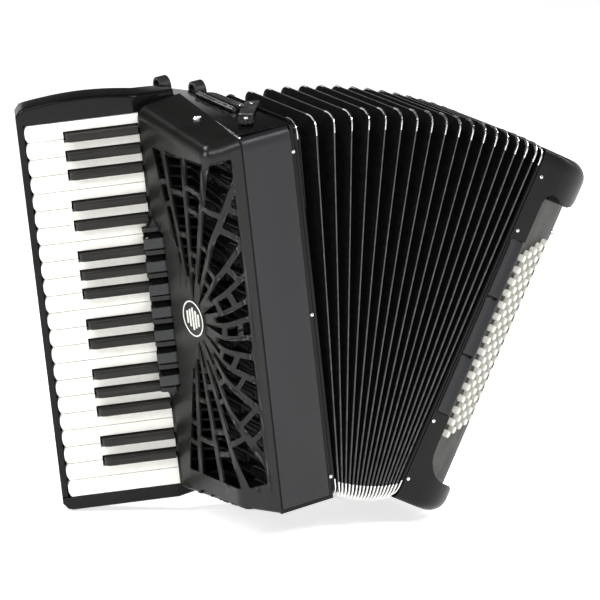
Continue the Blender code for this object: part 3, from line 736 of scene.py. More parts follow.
def add_pins(name, places, half, body, radius):
    """Domed nickel pins whose heads face the front."""
    shape = bmesh.new()
    profile = [(radius * 1.5, 0.2), (radius * 1.5, -0.3), (radius, -0.5), (radius, -1.2),
               (radius * 0.85, -1.8), (radius * 0.5, -2.2), (radius * 0.1, -2.3)]
    for x, y, z in places:
        turn = Matrix.Translation((x, y, z)) @ Matrix.Rotation(math.radians(-90.0), 4, "X")
        lathe(shape, profile, turn, 16)
    add_piece(name, shape, half, body, [NICKEL])


# ---------------------------------------------------------------- grille hood

HOOD_ROLL = 11.0
HOOD_LOW_ROLL = 3.2
HOOD_WALL = 2.4
ROOF_FRONT = 417.6
ROOF_RISE_BACK = 0.187
ROOF_RISE_RIGHT = 0.105
PEG_PLACE = (-78.0, 66.0)
EMBLEM_S = 98.0
EMBLEM_Z = 218.0
EMBLEM_RADIUS = 20.5
RIB_ANGLES = (-16.0, -8.4, 4.5, 17.4, 29.5, 45.0, 58.5, 73.5, 86.5, 100.5, 114.0, 127.0, 138.5,
              151.0, 161.5, 174.0, 187.5, 195.5)
WEB_STEPS_WIDE = ((23.0, 54.0), (60.0, 72.0), (78.0, 122.0), (128.0, 146.0), (152.0, 320.0))
WEB_STEPS_NARROW = ((46.0, 90.0), (95.5, 136.0), (142.0, 320.0))
RIB_HALF = 1.9
RIB_TAPER = 0.013
SMALLEST_CELL = 22.0
WEB_LOW = 38.0
WEB_HIGH = 399.0
WEB_SEAM = 12.0
WINDOW_START = 142.0
WINDOW_LOW = 130.0
WINDOW_HIGH = 304.0


def hood_outline():
    """The hood's outline in plan, from the seam round the front corner to the keys."""
    left, front = -HOOD_LEFT, -PANEL_BULGE
    points = [(-HOOD_SEAM, front), (left + HOOD_CORNER, front + 1.0)]
    centre = (left + HOOD_CORNER, front + HOOD_CORNER + 1.0)
    points += arc(centre, HOOD_CORNER, -90.0, -176.0, 10)[1:]
    points.append((left - HOOD_FLARE, HOOD_BACK))
    return [Vector(point) for point in points]


HOOD_PLAN = hood_outline()
HOOD_RUN = [0.0]
HOOD_FACING = []
for before, after in zip(HOOD_PLAN, HOOD_PLAN[1:]):
    stretch = after - before
    HOOD_RUN.append(HOOD_RUN[-1] + stretch.length)
    HOOD_FACING.append(Vector((-stretch.y, stretch.x)).normalized())
HOOD_CORNER_START = HOOD_RUN[1]
HOOD_CORNER_END = HOOD_RUN[-2]


def interpolate(value, table):
    """Straight-line interpolation in a list of (input, output) pairs."""
    for (low, start), (high, end) in zip(table, table[1:]):
        if value <= high:
            return start + (end - start) * (value - low) / (high - low)
    return table[-1][1]


def hood_place(run):
    """(point, outward direction) on the hood's outline, at a run from the seam."""
    run = max(0.0, min(run, HOOD_RUN[-1]))
    for i, (low, high) in enumerate(zip(HOOD_RUN, HOOD_RUN[1:])):
        if run <= high:
            break
    share = (run - low) / (high - low)
    point = HOOD_PLAN[i].lerp(HOOD_PLAN[i + 1], share)
    if not 0 < i < len(HOOD_FACING) - 1:
        return point, HOOD_FACING[i]
    start = HOOD_FACING[i - 1] + HOOD_FACING[i]
    end = HOOD_FACING[i] + HOOD_FACING[i + 1]
    return point, start.lerp(end, share).normalized()


def roof_height(x, y):
    """The hood's roof is one plane that rises to the back and to the seam."""
    return ROOF_FRONT + ROOF_RISE_BACK * (y + PANEL_BULGE) + ROOF_RISE_RIGHT * (x + HOOD_SEAM)


def hood_top(run):
    point, _ = hood_place(run)
    return roof_height(point.x, point.y)


def hood_low(run):
    return interpolate(run, [(0.0, 1.0), (HOOD_CORNER_START, 13.5), (HOOD_CORNER_END, 16.5),
                             (HOOD_RUN[-1], 11.0)])


def roll_over(run, height):
    """Where a point of the flat sheet goes once its top edge is rolled in."""
    point, out = hood_place(run)
    start = hood_top(run) - HOOD_ROLL
    z = height
    if height > start:
        angle = min((height - start) / HOOD_ROLL, math.pi / 2)
        point = point - out * HOOD_ROLL * (1.0 - math.cos(angle))
        z = start + (roof_height(point.x, point.y) - start) * math.sin(angle)
    return (point.x, point.y, z)


def clip(polygon, axis, limit, keep_above):
    """The part of a polygon on one side of a line across one axis."""
    result = []
    for i, here in enumerate(polygon):
        before = polygon[i - 1]
        inside = (here[axis] >= limit) == keep_above
        if inside != ((before[axis] >= limit) == keep_above):
            share = (limit - before[axis]) / (here[axis] - before[axis])
            result.append(tuple(a + (b - a) * share for a, b in zip(before, here)))
        if inside:
            result.append(here)
    return result


def area(polygon):
    total = 0.0
    for i, (x, y) in enumerate(polygon):
        before = polygon[i - 1]
        total += before[0] * y - x * before[1]
    return abs(total) / 2


def web_point(reach, turn):
    """A point of the flat sheet, at a reach and a turn from the emblem's middle."""
    return (EMBLEM_S - reach * math.sin(turn), EMBLEM_Z + reach * math.cos(turn))


def rib_side(angle, reach, side):
    """The turn of one side of a rib, which widens as it runs out."""
    half = RIB_HALF + RIB_TAPER * reach
    return math.radians(angle) + side * math.asin(min(1.0, half / reach))


def web_cell(start, end, inner, outer):
    """One opening of the web, between two ribs and two rings, as (run, height) points."""
    spread = math.radians(end - start) / 2
    narrowest = (RIB_HALF + 0.6) / (math.sin(spread) - RIB_TAPER)
    inner = max(inner, narrowest)
    if inner > outer - 4.0:
        return []
    polygon = []
    for reach, order in ((inner, 1), (outer, -1)):
        first = rib_side(start, reach, 1)
        last = rib_side(end, reach, -1)
        ring = [web_point(reach, first + (last - first) * i / 5) for i in range(6)]
        polygon += ring[::order]
    for axis, limit, above in ((0, WEB_SEAM, True), (1, WEB_LOW, True), (1, WEB_HIGH, False)):
        polygon = clip(polygon, axis, limit, above)
        if len(polygon) < 3:
            return []
    return rounded(polygon, 2.6, 3, 25.0) if area(polygon) > SMALLEST_CELL else []


def web_cells():
    cells = []
    for i, (start, end) in enumerate(zip(RIB_ANGLES, RIB_ANGLES[1:])):
        for inner, outer in WEB_STEPS_WIDE if i % 2 == 0 else WEB_STEPS_NARROW:
            cell = web_cell(start, end, inner, outer)
            if cell:
                cells.append(cell)
    return cells


def cut_sheet(sheet, place, normal, faces=None):
    """Cuts a line across the flat sheet, or across some of its faces."""
    faces = faces or list(sheet.faces)
    edges = {edge for face in faces for edge in face.edges}
    verts = {vertex for face in faces for vertex in face.verts}
    geometry = faces + list(edges) + list(verts)
    bmesh.ops.bisect_plane(sheet, geom=geometry, plane_co=(*place, 0.0), plane_no=(*normal, 0.0),
                           dist=0.01)


def cut_roll(sheet):
    """Cuts lines along the top of the sheet, where it will be rolled."""
    corners = [0.0, HOOD_CORNER_START, HOOD_CORNER_END, HOOD_RUN[-1]]
    for start, end in zip(corners, corners[1:]):
        slope = (hood_top(end) - hood_top(start)) / (end - start)
        for i in range(7):
            offset = HOOD_ROLL * (i / 6 * math.pi / 2 - 1.0)
            faces = []
            for face in sheet.faces:
                if start < face.calc_center_median().x < end:
                    faces.append(face)
            cut_sheet(sheet, (start, hood_top(start) + offset), (-slope, 1.0), faces)


def build_hood():
    """The grille: a flat sheet is cut as a web, wrapped round the corner and rolled at its top."""
    runs = [HOOD_RUN[-1] * i / 60 for i in range(61)]
    rolled = HOOD_ROLL * math.pi / 2 - HOOD_ROLL
    outline = [(run, hood_low(run) + HOOD_LOW_ROLL) for run in runs]
    outline += [(run, hood_top(run) + rolled) for run in reversed(runs)]
    window_end = HOOD_RUN[-1] - 2.0
    window = [(WINDOW_START, WINDOW_LOW), (window_end, WINDOW_LOW),
              (window_end, WINDOW_HIGH), (WINDOW_START, WINDOW_HIGH)]
    sheet = filled(outline, web_cells() + [rounded(window, 6.0)])
    cuts = [HOOD_CORNER_START + (HOOD_CORNER_END - HOOD_CORNER_START) * i / 8 for i in range(9)]
    cuts += [6.0 + 7.0 * i for i in range(4)] + [HOOD_CORNER_END + 10.0 * i for i in range(1, 12)]
    for run in cuts:
        cut_sheet(sheet, (run, 0.0), (1.0, 0.0))
    cut_roll(sheet)
    rim = []
    for vertex in sheet.verts:
        run, height = vertex.co.x, vertex.co.y
        if height > hood_top(run) + rolled - 0.05:
            rim.append((run, vertex))
        vertex.co = roll_over(run, height)
    rim.sort(key=lambda item: item[0])
    seam_back = sheet.verts.new((-HOOD_SEAM, HOOD_BACK, roof_height(-HOOD_SEAM, HOOD_BACK)))
    sheet.faces.new([vertex for _, vertex in rim] + [seam_back])
    bmesh.ops.recalc_face_normals(sheet, faces=sheet.faces)
    hood = make_object("grille_hood", sheet, TREBLE, [CHARCOAL])
    wall = hood.modifiers.new("wall", "SOLIDIFY")
    wall.thickness = HOOD_WALL * MM
    wall.offset = -1.0
    bevel_modifier(hood, 0.45, 2, 50.0)
    shade(hood, 32.0)
    fit(hood, "treble", ("treble_grille",))
    build_hood_floor()


def build_hood_floor():
    """The plate that closes the hood below, and the rounded bead along the wall's foot."""
    shape = bmesh.new()
    plate, bead = [], []
    count = 60
    proud, inner = 0.12, -4.6
    for i in range(count + 1):
        run = HOOD_RUN[-1] * i / count
        point, out = hood_place(run)
        low = hood_low(run)
        bead_top = low + HOOD_LOW_ROLL + 1.5
        foot = point - out * 3.4
        seam_y = -3.0 + (HOOD_BACK + 2.0) * i / count
        plate.append([(foot.x, foot.y, low + 0.3), (foot.x, foot.y, low + 2.5),
                      (-HOOD_SEAM, seam_y, 3.4), (-HOOD_SEAM, seam_y, 1.2)])
        curve = arc((proud - HOOD_LOW_ROLL, low + HOOD_LOW_ROLL), HOOD_LOW_ROLL, 0.0, -90.0, 6)
        section = [(proud, bead_top), *curve, (inner, low), (inner, bead_top)]
        bead.append([(point.x + out.x * u, point.y + out.y * u, z) for u, z in section])
    loft(shape, plate)
    loft(shape, bead)
    add_piece("grille_floor", shape, TREBLE, "treble", [CHARCOAL])


def wall_matrix(run, height):
    """A matrix whose Z points out of the hood's wall and whose Y points up it."""
    point, out = hood_place(run)
    up = Vector((0.0, 0.0, 1.0))
    normal = Vector((out.x, out.y, 0.0))
    turn = Matrix((up.cross(normal), up, normal)).transposed().to_4x4()
    return Matrix.Translation((point.x, point.y, height)) @ turn


def build_emblem():
    """A plain medallion: a pale ring round a dark disc with five rising bars."""
    place = wall_matrix(EMBLEM_S, EMBLEM_Z)
    radius = EMBLEM_RADIUS
    profile = [(radius, -3.0), (radius, 0.5), (radius - 0.8, 0.9), (radius - 2.4, 0.9),
               (radius - 2.8, 0.4), (2.0, 0.5)]
    disc = bmesh.new()
    lathe(disc, profile, place, 64)
    add_piece("emblem_disc", disc, TREBLE, "treble", [CHARCOAL])
    shape = bmesh.new()
    ring = [place @ Vector((x, y, 0.8)) for x, y in circle(radius - 1.4, 64)]
    outwards = place.to_3x3() @ Vector((0.0, 0.0, 1.0))
    sweep(shape, ring, circle(0.85, 6), outwards, closed=True)
    pitch, half_bar = 5.4, 1.3
    for i in range(-2, 3):
        left, right = i * pitch - half_bar, i * pitch + half_bar
        reach = 7.0 + 5.5 * (1.0 - abs(i) / 2)
        bar = rounded([(left, -reach), (right, -reach), (right, reach), (left, reach)], 1.2)
        loft(shape, [[place @ Vector((u, v, z)) for u, v in bar] for z in (0.3, 1.2)])
    add_piece("emblem_motif", shape, TREBLE, "treble", [IVORY])


# ---------------------------------------------------------------- treble registers

def tab_centre(number):
    return REGISTER_FIRST - number * REGISTER_PITCH


def tab_section(arch, rise):
    """(height, depth) points round a tab: a flat face and a facet that falls back above it."""
    foot = -REGISTER_LIFT
    outline = [(-9.0, 6.2), (-8.4, 6.8), (-7.6, 7.0), (2.6, 7.0), (3.3, 6.8), (3.8, 6.2),
               (3.9 + arch, 1.2)]
    raised = [(up, foot - proud * rise) for up, proud in outline]
    return [(-9.0, foot)] + raised + [(3.9 + arch, foot)]


def build_registers():
    """The treble tabs: each has a satin face, a gloss facet that arches above it, and a rounded inner end;
    the face's lighter slate and the gloss black elsewhere partly paint light on the face and shade on the
    rest.
    """
    inner = REGISTER_OUT - REGISTER_LENGTH
    stations = [(0.0, 0.35), (0.4, 0.68), (1.2, 0.88), (2.4, 0.98), (3.6, 1.0)]
    stations += [(3.6 + 1.8 * i, 1.0) for i in range(1, 11)]
    stations += [(REGISTER_LENGTH - 1.6, 1.0), (REGISTER_LENGTH - 0.5, 0.97), (REGISTER_LENGTH, 0.88)]
    for number in range(REGISTER_COUNT):
        centre = tab_centre(number)
        shape = bmesh.new()
        rings = []
        for run, rise in stations:
            share = 2.0 * run / REGISTER_LENGTH - 1.0
            arch = 5.0 * math.sqrt(max(0.0, 1.0 - share * share))
            ring = []
            for up, depth in tab_section(arch, rise):
                ring.append((*key_point(inner + run, depth), centre + up))
            rings.append(ring)
        # Faces that look outwards take the lighter satin and the rest the gloss black: partly painted light
        # on the face and painted shade on the facet and sides.
        faces = loft(shape, rings, material=1)
        for face in faces:
            middle = face.calc_center_median()
            if len(face.verts) == 4 and -8.0 < middle.z - centre < 3.0 and abs(face.normal.z) < 0.2:
                face.material_index = 0
        name = f"treble_register_{number + 1}"
        add_piece(f"tab_{name}", shape, TREBLE, name, [SATIN_TAB, GLOSS], (name,),
                  angle=50.0)


def build_register_bed():
    """The gloss bed behind the tabs, satin bars between them, and a cheek at each end."""
    high = REGISTER_FIRST + 13.0
    low = tab_centre(REGISTER_COUNT - 1) - 13.0
    shape = bmesh.new()
    outline = key_points((-22.0, -8.0), (-18.0, -10.6), (5.0, -10.6), (6.0, -10.2), (5.0, -9.6),
                         (-4.0, -9.6), (-6.0, -3.0), (-14.0, -3.0))
    prism(shape, outline, low, high)
    soften(shape, 0.3)
    add_piece("register_bed", shape, TREBLE, "treble", [GLOSS])
    shape = bmesh.new()
    bar = rounded(key_points((-22.0, -8.0), (-20.5, -17.0), (-16.0, -19.0), (3.0, -18.6),
                             (7.0, -15.5), (7.0, -11.0)), 2.5)
    for number in range(REGISTER_COUNT + 1):
        z = tab_centre(number) + REGISTER_PITCH / 2
        prism(shape, bar, z - 2.4, z + 2.4)
    base = key_points((-21.0, -8.0), (-19.0, -19.5), (2.0, -19.0), (5.0, -11.0))
    tip = key_points((-20.0, -6.0), (-19.0, -8.0), (-12.0, -8.0), (-9.0, -5.0))
    for z, reach in ((high - 2.0, 20.0), (low + 2.0, -20.0)):
        loft(shape, [[(x, y, z) for x, y in base], [(x, y, z + reach) for x, y in tip]])
    soften(shape, 0.7)
    add_piece("register_bars", shape, TREBLE, "treble", [CHARCOAL])


# ---------------------------------------------------------------- keyboard

def board_top(along):
    """Height of the fingerboard's upper end: a shallow arch, rounded off at its outer corner."""
    arch = 446.0 + 8.5 * math.cos(math.radians(along - 55.0) * 1.1)
    if along > 118.0:
        arch -= (along - 118.0) ** 2 / 9.0
    return arch


def board_low(along):
    return KEYS_LOW - BOARD_END + max(0.0, along - 116.0) ** 2 / 11.0


def board_edge(along, depth, case_y):
    """X and Y along one edge of the board's end, which runs on from the keys to the case."""
    if along >= 0.0:
        return key_point(along, depth)
    start = Vector(key_point(0.0, depth))
    return tuple(start.lerp(Vector((BOARD_CASE_SIDE, case_y)), along / -BOARD_RUN_ON))


def board_end(edge_of, face, side, outer):
    """Rings of the board's upper or lower end, whose front edge is rolled over."""
    rings = []
    steps = 33
    for i in range(steps + 1):
        along = -BOARD_RUN_ON + (outer + BOARD_RUN_ON) * i / steps
        front = board_edge(along, 1.0, 141.0)
        back = board_edge(along, BOARD_DEPTH, CASE_DEPTH)
        lip = tuple(Vector(front).lerp(Vector(back), 0.09))
        mid = tuple(Vector(front).lerp(Vector(back), 0.03))
        tip = edge_of(along)
        rings.append([(*front, face), (*front, tip + side * 3.2), (*mid, tip + side * 1.0),
                      (*lip, tip), (*back, tip), (*back, face)])
    return rings


def build_fingerboard():
    """The bed behind the keys, the rail past their outer ends, two end blocks and the axle."""
    rail = WHITE_LENGTH + 1.5
    outer = rail + 6.0
    low, high = KEYS_LOW - 1.0, KEYS_HIGH + 1.0
    shape = bmesh.new()
    heel = [*key_points((outer, BOARD_DEPTH), (outer, BED_DEPTH), (-4.0, BED_DEPTH)),
            (BOARD_CASE_SIDE, 150.0), (BOARD_CASE_SIDE, CASE_DEPTH), key_point(-8.0, BOARD_DEPTH)]
    prism(shape, heel, low, high)
    prism(shape, key_points((rail, 3.0), (rail, BED_DEPTH + 1.0), (outer, BED_DEPTH + 1.0),
                            (outer, 3.0)), low, high)
    soften(shape, 1.4)
    loft(shape, board_end(board_top, KEYS_HIGH + 0.8, -1.0, outer))
    loft(shape, board_end(board_low, KEYS_LOW - 0.8, 1.0, outer))
    add_piece("fingerboard_frame", shape, TREBLE, "treble", [GLOSS], ("fingerboard",))
    shape = bmesh.new()
    centre = key_point(AXLE_ALONG, AXLE_DEPTH)
    profile = [(1.5, KEYS_LOW - 3.0), (1.5, KEYS_HIGH + 3.0)]
    lathe(shape, profile, Matrix.Translation((*centre, 0.0)), 12)
    add_piece("key_axle", shape, TREBLE, "treble", [NICKEL])


def sharps():
    """(white key above it, centre height) of each sharp, from the top of the keyboard down."""
    found = []
    for white in range(1, WHITE_COUNT):
        step = (white - 1) % WHITES_PER_OCTAVE + 1
        if step in SHARPS_AFTER:
            found.append((white, KEYS_HIGH - white * WHITE_PITCH + SHARPS_AFTER[step]))
    return found


def fan_shift(centre, y):
    return (ARM_DROP - ARM_CROWDING * centre) * (KEY_ORIGIN[1] + 2.0 - y) / ARM_REACH


def add_action(shape, centre, pallet):
    """The aluminium arm over the axle, and the felt-faced pallet at its end."""
    front, width = pallet
    half_arm = 1.2
    sound_board = -PANEL_WIDTH - PALLET_THICKNESS - 1.2
    bend = key_point(-22.0, 3.0)
    points = [key_point(6.0, 6.0), key_point(AXLE_ALONG, AXLE_DEPTH - 4.2), bend,
              (sound_board, bend[1] - 22.0), (sound_board, front)]
    outline = strip(points, 2.2)
    loft(shape, [[(x, y, centre + fan_shift(centre, y) + side) for x, y in outline]
                 for side in (-half_arm, half_arm)], material=1)
    felt_face = -PANEL_WIDTH - 0.3
    left = felt_face - PALLET_THICKNESS
    joint = left + 3.4
    near = front - 4.0
    far = near + PALLET_LENGTH
    place = centre + fan_shift(centre, near + PALLET_LENGTH / 2)
    for start, end, material in ((left, joint, 2), (joint, felt_face, 3)):
        box(shape, (start, near, place - width / 2), (end, far, place + width / 2), material)
    box(shape, (left - 1.5, front + 2.0, place - 0.7), (left, front + 15.0, place + 0.7), 4)


def white_outline(low, high, notch_low, notch_high):
    """A white key's top as (height, along): narrow between the sharps, bowed at the front."""
    shoulder = BLACK_LENGTH + 1.5
    bow = []
    for i in range(9):
        share = i / 8
        drop = 2.4 * abs(2 * share - 1) ** 3 + 0.8 * (2 * share - 1) ** 2
        bow.append((low + (high - low) * share, WHITE_LENGTH - drop))
    return [(notch_low, WHITE_INNER), (notch_low, shoulder), (low, shoulder), *bow, (high, shoulder),
            (notch_high, shoulder), (notch_high, WHITE_INNER)]


def build_white_keys():
    """The white keys, numbered from the top down, each with its own arm and pallet."""
    centres = dict(sharps())
    notch = BLACK_WIDTH / 2 + BLACK_CLEARANCE
    for number in range(1, WHITE_COUNT + 1):
        high = KEYS_HIGH - (number - 1) * WHITE_PITCH - KEY_GAP / 2
        low = KEYS_HIGH - number * WHITE_PITCH + KEY_GAP / 2
        notch_high = centres[number - 1] - notch if number - 1 in centres else high
        notch_low = centres[number] + notch if number in centres else low
        outline = white_outline(low, high, notch_low, notch_high)
        outline = [point for i, point in enumerate(outline) if point != outline[i - 1]]
        shape = bmesh.new()
        loft(shape, [[(*key_point(along, depth), z) for z, along in outline]
                     for depth in (0.0, WHITE_DEPTH)])
        soften(shape, 0.7, 3, 24.0)
        add_action(shape, (notch_low + notch_high) / 2, WHITE_PALLET)
        name = f"white_key_{number:02d}"
        add_piece(f"ivory_{name}", shape, TREBLE, name, [IVORY, *ACTION], (name,))


def build_black_keys():
    """The black keys: bevelled along both sides, with a nose that slopes down."""
    half = BLACK_WIDTH / 2
    foot = 9.0
    nose = [(9.0, 0.0), (5.0, 0.5), (2.6, 2.0), (1.2, 4.2), (0.0, 9.5)]
    stations = [(BLACK_INNER, 0.0)] + [(BLACK_LENGTH - back, drop) for back, drop in nose]
    for number, (_, centre) in enumerate(sharps(), start=1):
        rings = []
        for along, drop in stations:
            top = drop - BLACK_RISE
            section = [(foot, -half), (top + 1.0, 0.7 - half), (top, 1.7 - half),
                       (top, half - 1.7), (top + 1.0, half - 0.7), (foot, half)]
            rings.append([(*key_point(along, depth), centre + side) for depth, side in section])
        shape = bmesh.new()
        loft(shape, rings)
        add_action(shape, centre, BLACK_PALLET)
        name = f"black_key_{number:02d}"
        add_piece(f"ebony_{name}", shape, TREBLE, name, [EBONY, *ACTION], (name,))


# ---------------------------------------------------------------- bellows

def fold_margin():
    """Share of the bellows' foot that each end frame takes."""
    return (BELLOWS_FRAME + 1.5) / BASS_FOOT[0]


def fold_place(step):
    """Foot and tilt of a ridge or valley plane, as in the solid."""
    margin = fold_margin()
    turn = step
    if 0.0 < step < 1.0:
        fold = (step - margin) / (1.0 - 2.0 * margin)
        turn = FOLD_ENDS[0] + (1.0 - FOLD_ENDS[0] - FOLD_ENDS[1]) * fold
    share = turn + FOLD_SPREAD * turn * (1.0 - turn)
    sag = BELLOWS_SAG * 4.0 * step * (1.0 - step)
    foot = (BASS_FOOT[0] * step - sag * math.sin(FAN / 2),
            BASS_FOOT[1] * step - sag * math.cos(FAN / 2))
    return foot, FAN * share


def fold_span(step, inset):
    """Lowest and highest points of one fold plane: the middle folds reach higher."""
    crown = BELLOWS_CROWN * 4.0 * step * (1.0 - step)
    high = BELLOWS_TOP - (BELLOWS_TOP - BASS_TOP) * step + crown
    return 1.0 + BASS_LOW * step + inset, high - inset


def fold_loop(step, inset, radius):
    """One loop round the bellows as (y, up) points, with rounded corners."""
    low, high = fold_span(step, inset)
    front, back = inset, BELLOWS_DEPTH - inset
    loop = []
    for y, up, start in ((front + radius, low + radius, 180.0), (back - radius, low + radius, 270.0),
                         (back - radius, high - radius, 0.0), (front + radius, high - radius, 90.0)):
        loop += arc((y, up), radius, start, start + 90.0, 6)
    return loop


def on_fold(step, points, shift=0.0):
    """Points of one fold plane, given as (y, up), optionally shifted along the plane's normal."""
    foot, tilt = fold_place(step)
    ring = []
    for y, up in points:
        x = foot[0] + up * math.sin(tilt) + shift * math.cos(tilt)
        z = foot[1] + up * math.cos(tilt) - shift * math.sin(tilt)
        ring.append((x, y, z))
    return ring


def bind(obj):
    """Bakes a bellows piece's placing into its mesh."""
    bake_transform(obj)


def add_bent(name, shape, material, angle, stands_for=()):
    """A piece of the bellows, with its placing baked into its mesh."""
    obj = make_object(name, shape, TREBLE, [material])
    smooth(obj, angle)
    if stands_for:
        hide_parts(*stands_for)
    bind(obj)


def ridge_steps():
    margin = fold_margin()
    half_step = (1.0 - 2.0 * margin) / (2 * FOLD_COUNT)
    return [margin + half_step * (2 * i + 1) for i in range(FOLD_COUNT)], half_step


def fold_spacing(step, half_step, up):
    """Distance between a ridge and the valley beside it at one height up the fold."""
    here = Vector(on_fold(step, [(0.0, up)])[0])
    there = Vector(on_fold(step + half_step, [(0.0, up)])[0])
    return (there - here).length


def build_fold(number, step, half_step):
    """One pleat of cloth-covered card: valley, ridge, valley, with a thickness."""
    ridge, crest = 0.6, 0.08
    outer, inner = [], []
    for side in (-1.0, -0.5, -crest, crest, 0.5, 1.0):
        depth = ridge + (FOLD_DEPTH - ridge) * (abs(side) - crest) / (1.0 - crest)
        radius = FOLD_CORNER - depth * FOLD_TIGHTENING
        here = step + half_step * side
        outer.append(on_fold(here, fold_loop(here, depth, radius)))
        inner.append(on_fold(here, fold_loop(here, depth + FOLD_SKIN, radius)))
    shape = bmesh.new()
    loft(shape, outer + inner[::-1], closed=True)
    add_bent(f"bellows_fold_{number:02d}", shape, CLOTH, 30.0,
             ("bellows",) if number == 1 else ())


def build_binding(number, step):
    """The tape over one ridge, all the way round."""
    section = [(-0.7, 1.9), (-0.65, 0.4), (-0.3, 0.0), (0.3, 0.0), (0.65, 0.4), (0.7, 1.9)]
    rings = []
    for shift, inset in section:
        rings.append(on_fold(step, fold_loop(step, inset, FOLD_CORNER), shift))
    shape = bmesh.new()
    loft(shape, rings, closed=True)
    add_bent(f"bellows_binding_{number:02d}", shape, TAPE, 50.0)


def corner_path(step, front, top, inset):
    """The (y, up) points that a metal corner follows round one corner of a ridge."""
    radius = FOLD_CORNER - inset
    low, high = fold_span(step, inset)
    y = inset + radius if front else BELLOWS_DEPTH - inset - radius
    up = high - radius if top else low + radius
    start = 180.0 if front else 0.0
    end = 90.0 if top else (270.0 if front else -90.0)
    points = arc((y, up), radius, start, end, 8)
    leg = 7.0
    side_y, side_up = points[0]
    flat_y, flat_up = points[-1]
    down = -leg if top else leg
    inward = leg if front else -leg
    return [(side_y, side_up + down), *points, (flat_y + inward, flat_up)]


def add_corners(shape, step, top, shift, flank):
    """Two nickel channels, front and back, folded over an edge at one end of a fold plane."""
    depth = 4.4
    reach = 0.8 + flank
    lines = [(-reach, depth), (-0.9, 0.3), (-0.5, -0.35), (0.5, -0.35), (0.9, 0.3), (reach, depth),
             (reach - 0.3, depth + 0.3), (0.55, 0.8), (-0.55, 0.8), (-reach + 0.3, depth + 0.3)]
    for front in (True, False):
        rows = []
        for side, inset in lines:
            rows.append(on_fold(step, corner_path(step, front, top, inset), shift + side))
        loft(shape, [list(section) for section in zip(*rows)])


def build_corners(number, step, half_step):
    """Four nickel corners, each a channel folded over the ridge."""
    shape = bmesh.new()
    for top in (True, False):
        spacing = fold_spacing(step, half_step, BELLOWS_TOP if top else 10.0)
        add_corners(shape, step, top, 0.0, min(1.0, spacing / FOLD_DEPTH) * 1.3)
    add_bent(f"bellows_corners_{number:02d}", shape, NICKEL, 45.0)


def build_bellows_end(body, step, side):
    """The wooden frame that a half's case is pinned to, with its metal corners."""
    section = [(0.3, 1.2), (1.0, 0.4), (3.2, 0.4), (BELLOWS_FRAME, 1.6), (BELLOWS_FRAME, 15.0),
               (0.3, 15.0)]
    rings = []
    for reach, inset in section:
        loop = fold_loop(step, inset, FOLD_CORNER - inset * 0.3)
        rings.append(on_fold(step, loop, side * reach))
    shape = bmesh.new()
    loft(shape, rings, closed=True)
    add_piece(f"bellows_frame_{body}", shape, TREBLE, body, [GLOSS])
    shape = bmesh.new()
    for top in (True, False):
        add_corners(shape, step, top, side * 3.4, 0.1)
    add_piece(f"bellows_frame_corners_{body}", shape, TREBLE, body, [NICKEL], angle=45.0)


def build_half_fold(body, step, side):
    """The half pleat from an end frame to the first valley."""
    valley = fold_margin() if side > 0 else 1.0 - fold_margin()
    start_depth = 4.0
    outer, inner = [], []
    for share in (0.0, 0.5, 1.0):
        for rows, skin in ((outer, 0.0), (inner, FOLD_SKIN)):
            depth = start_depth + (FOLD_DEPTH - start_depth) * share + skin
            near = on_fold(step, fold_loop(step, depth, 9.0), side * 4.0)
            loop = fold_loop(valley, depth, FOLD_CORNER - FOLD_DEPTH * FOLD_TIGHTENING)
            rows.append([Vector(a).lerp(Vector(b), share)
                         for a, b in zip(near, on_fold(valley, loop))])
    shape = bmesh.new()
    loft(shape, outer + inner[::-1], closed=True)
    obj = make_object(f"bellows_end_{body}", shape, TREBLE, [CLOTH])
    obj.data.shade_smooth()
    tilt = fold_place(valley)[1]
    turned = abs(tilt / FAN - step)
    if turned < 1e-6:
        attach(obj, body)
        return
    bind(obj)


def build_bellows():
    """The folds, their tapes and metal corners, and a frame at each end."""
    steps, half_step = ridge_steps()
    for number, step in enumerate(steps, start=1):
        build_fold(number, step, half_step)
        build_binding(number, step)
        build_corners(number, step, half_step)
    for body, step, side in (("treble", 0.0, 1.0), ("bass", 1.0, -1.0)):
        build_bellows_end(body, step, side)
        build_half_fold(body, step, side)


# ---------------------------------------------------------------- bass half

def air_button_place():
    """A matrix whose Z points out of the case's side at the air button."""
    place = Matrix.Translation((BASS_WIDTH, *AIR_BUTTON_PLACE))
    return place @ Matrix.Rotation(math.radians(90.0), 4, "Y")


def bass_shell():
    """The uncut case: its plan curves from the front to the side, and both ends are rolled."""
    roll, corner = 18.0, 26.0
    rows = []
    for i in range(8):
        angle = math.radians(90.0 * i / 7)
        rows.append((roll * (1.0 - math.cos(angle)), 1.0 - math.sin(angle)))
    heights = [(BASS_LOW + lift, pinch) for lift, pinch in rows]
    heights += [(BASS_TOP - lift, pinch) for lift, pinch in reversed(rows)]
    radii = (BASS_WIDTH - corner, BASS_SIDE_START)
    plan = [(0.0, 0.0), (12.0, 0.0), (22.0, 0.0)]
    plan += arc((corner, BASS_SIDE_START), radii, -90.0, 0.0, 18)
    plan += [(BASS_WIDTH, 110.0), (BASS_WIDTH, BASS_DEPTH - 5.0), (BASS_WIDTH - 5.0, BASS_DEPTH),
             (0.0, BASS_DEPTH)]
    rings = []
    for z, pinch in heights:
        ring = []
        for x, y in plan:
            side = x / BASS_WIDTH
            forward = 6.0 * pinch * (1.0 - y / BASS_DEPTH)
            ring.append((x - corner * pinch * side ** 2, y + forward, z))
        rings.append(ring)
    shape = bmesh.new()
    loft(shape, rings)
    return shape


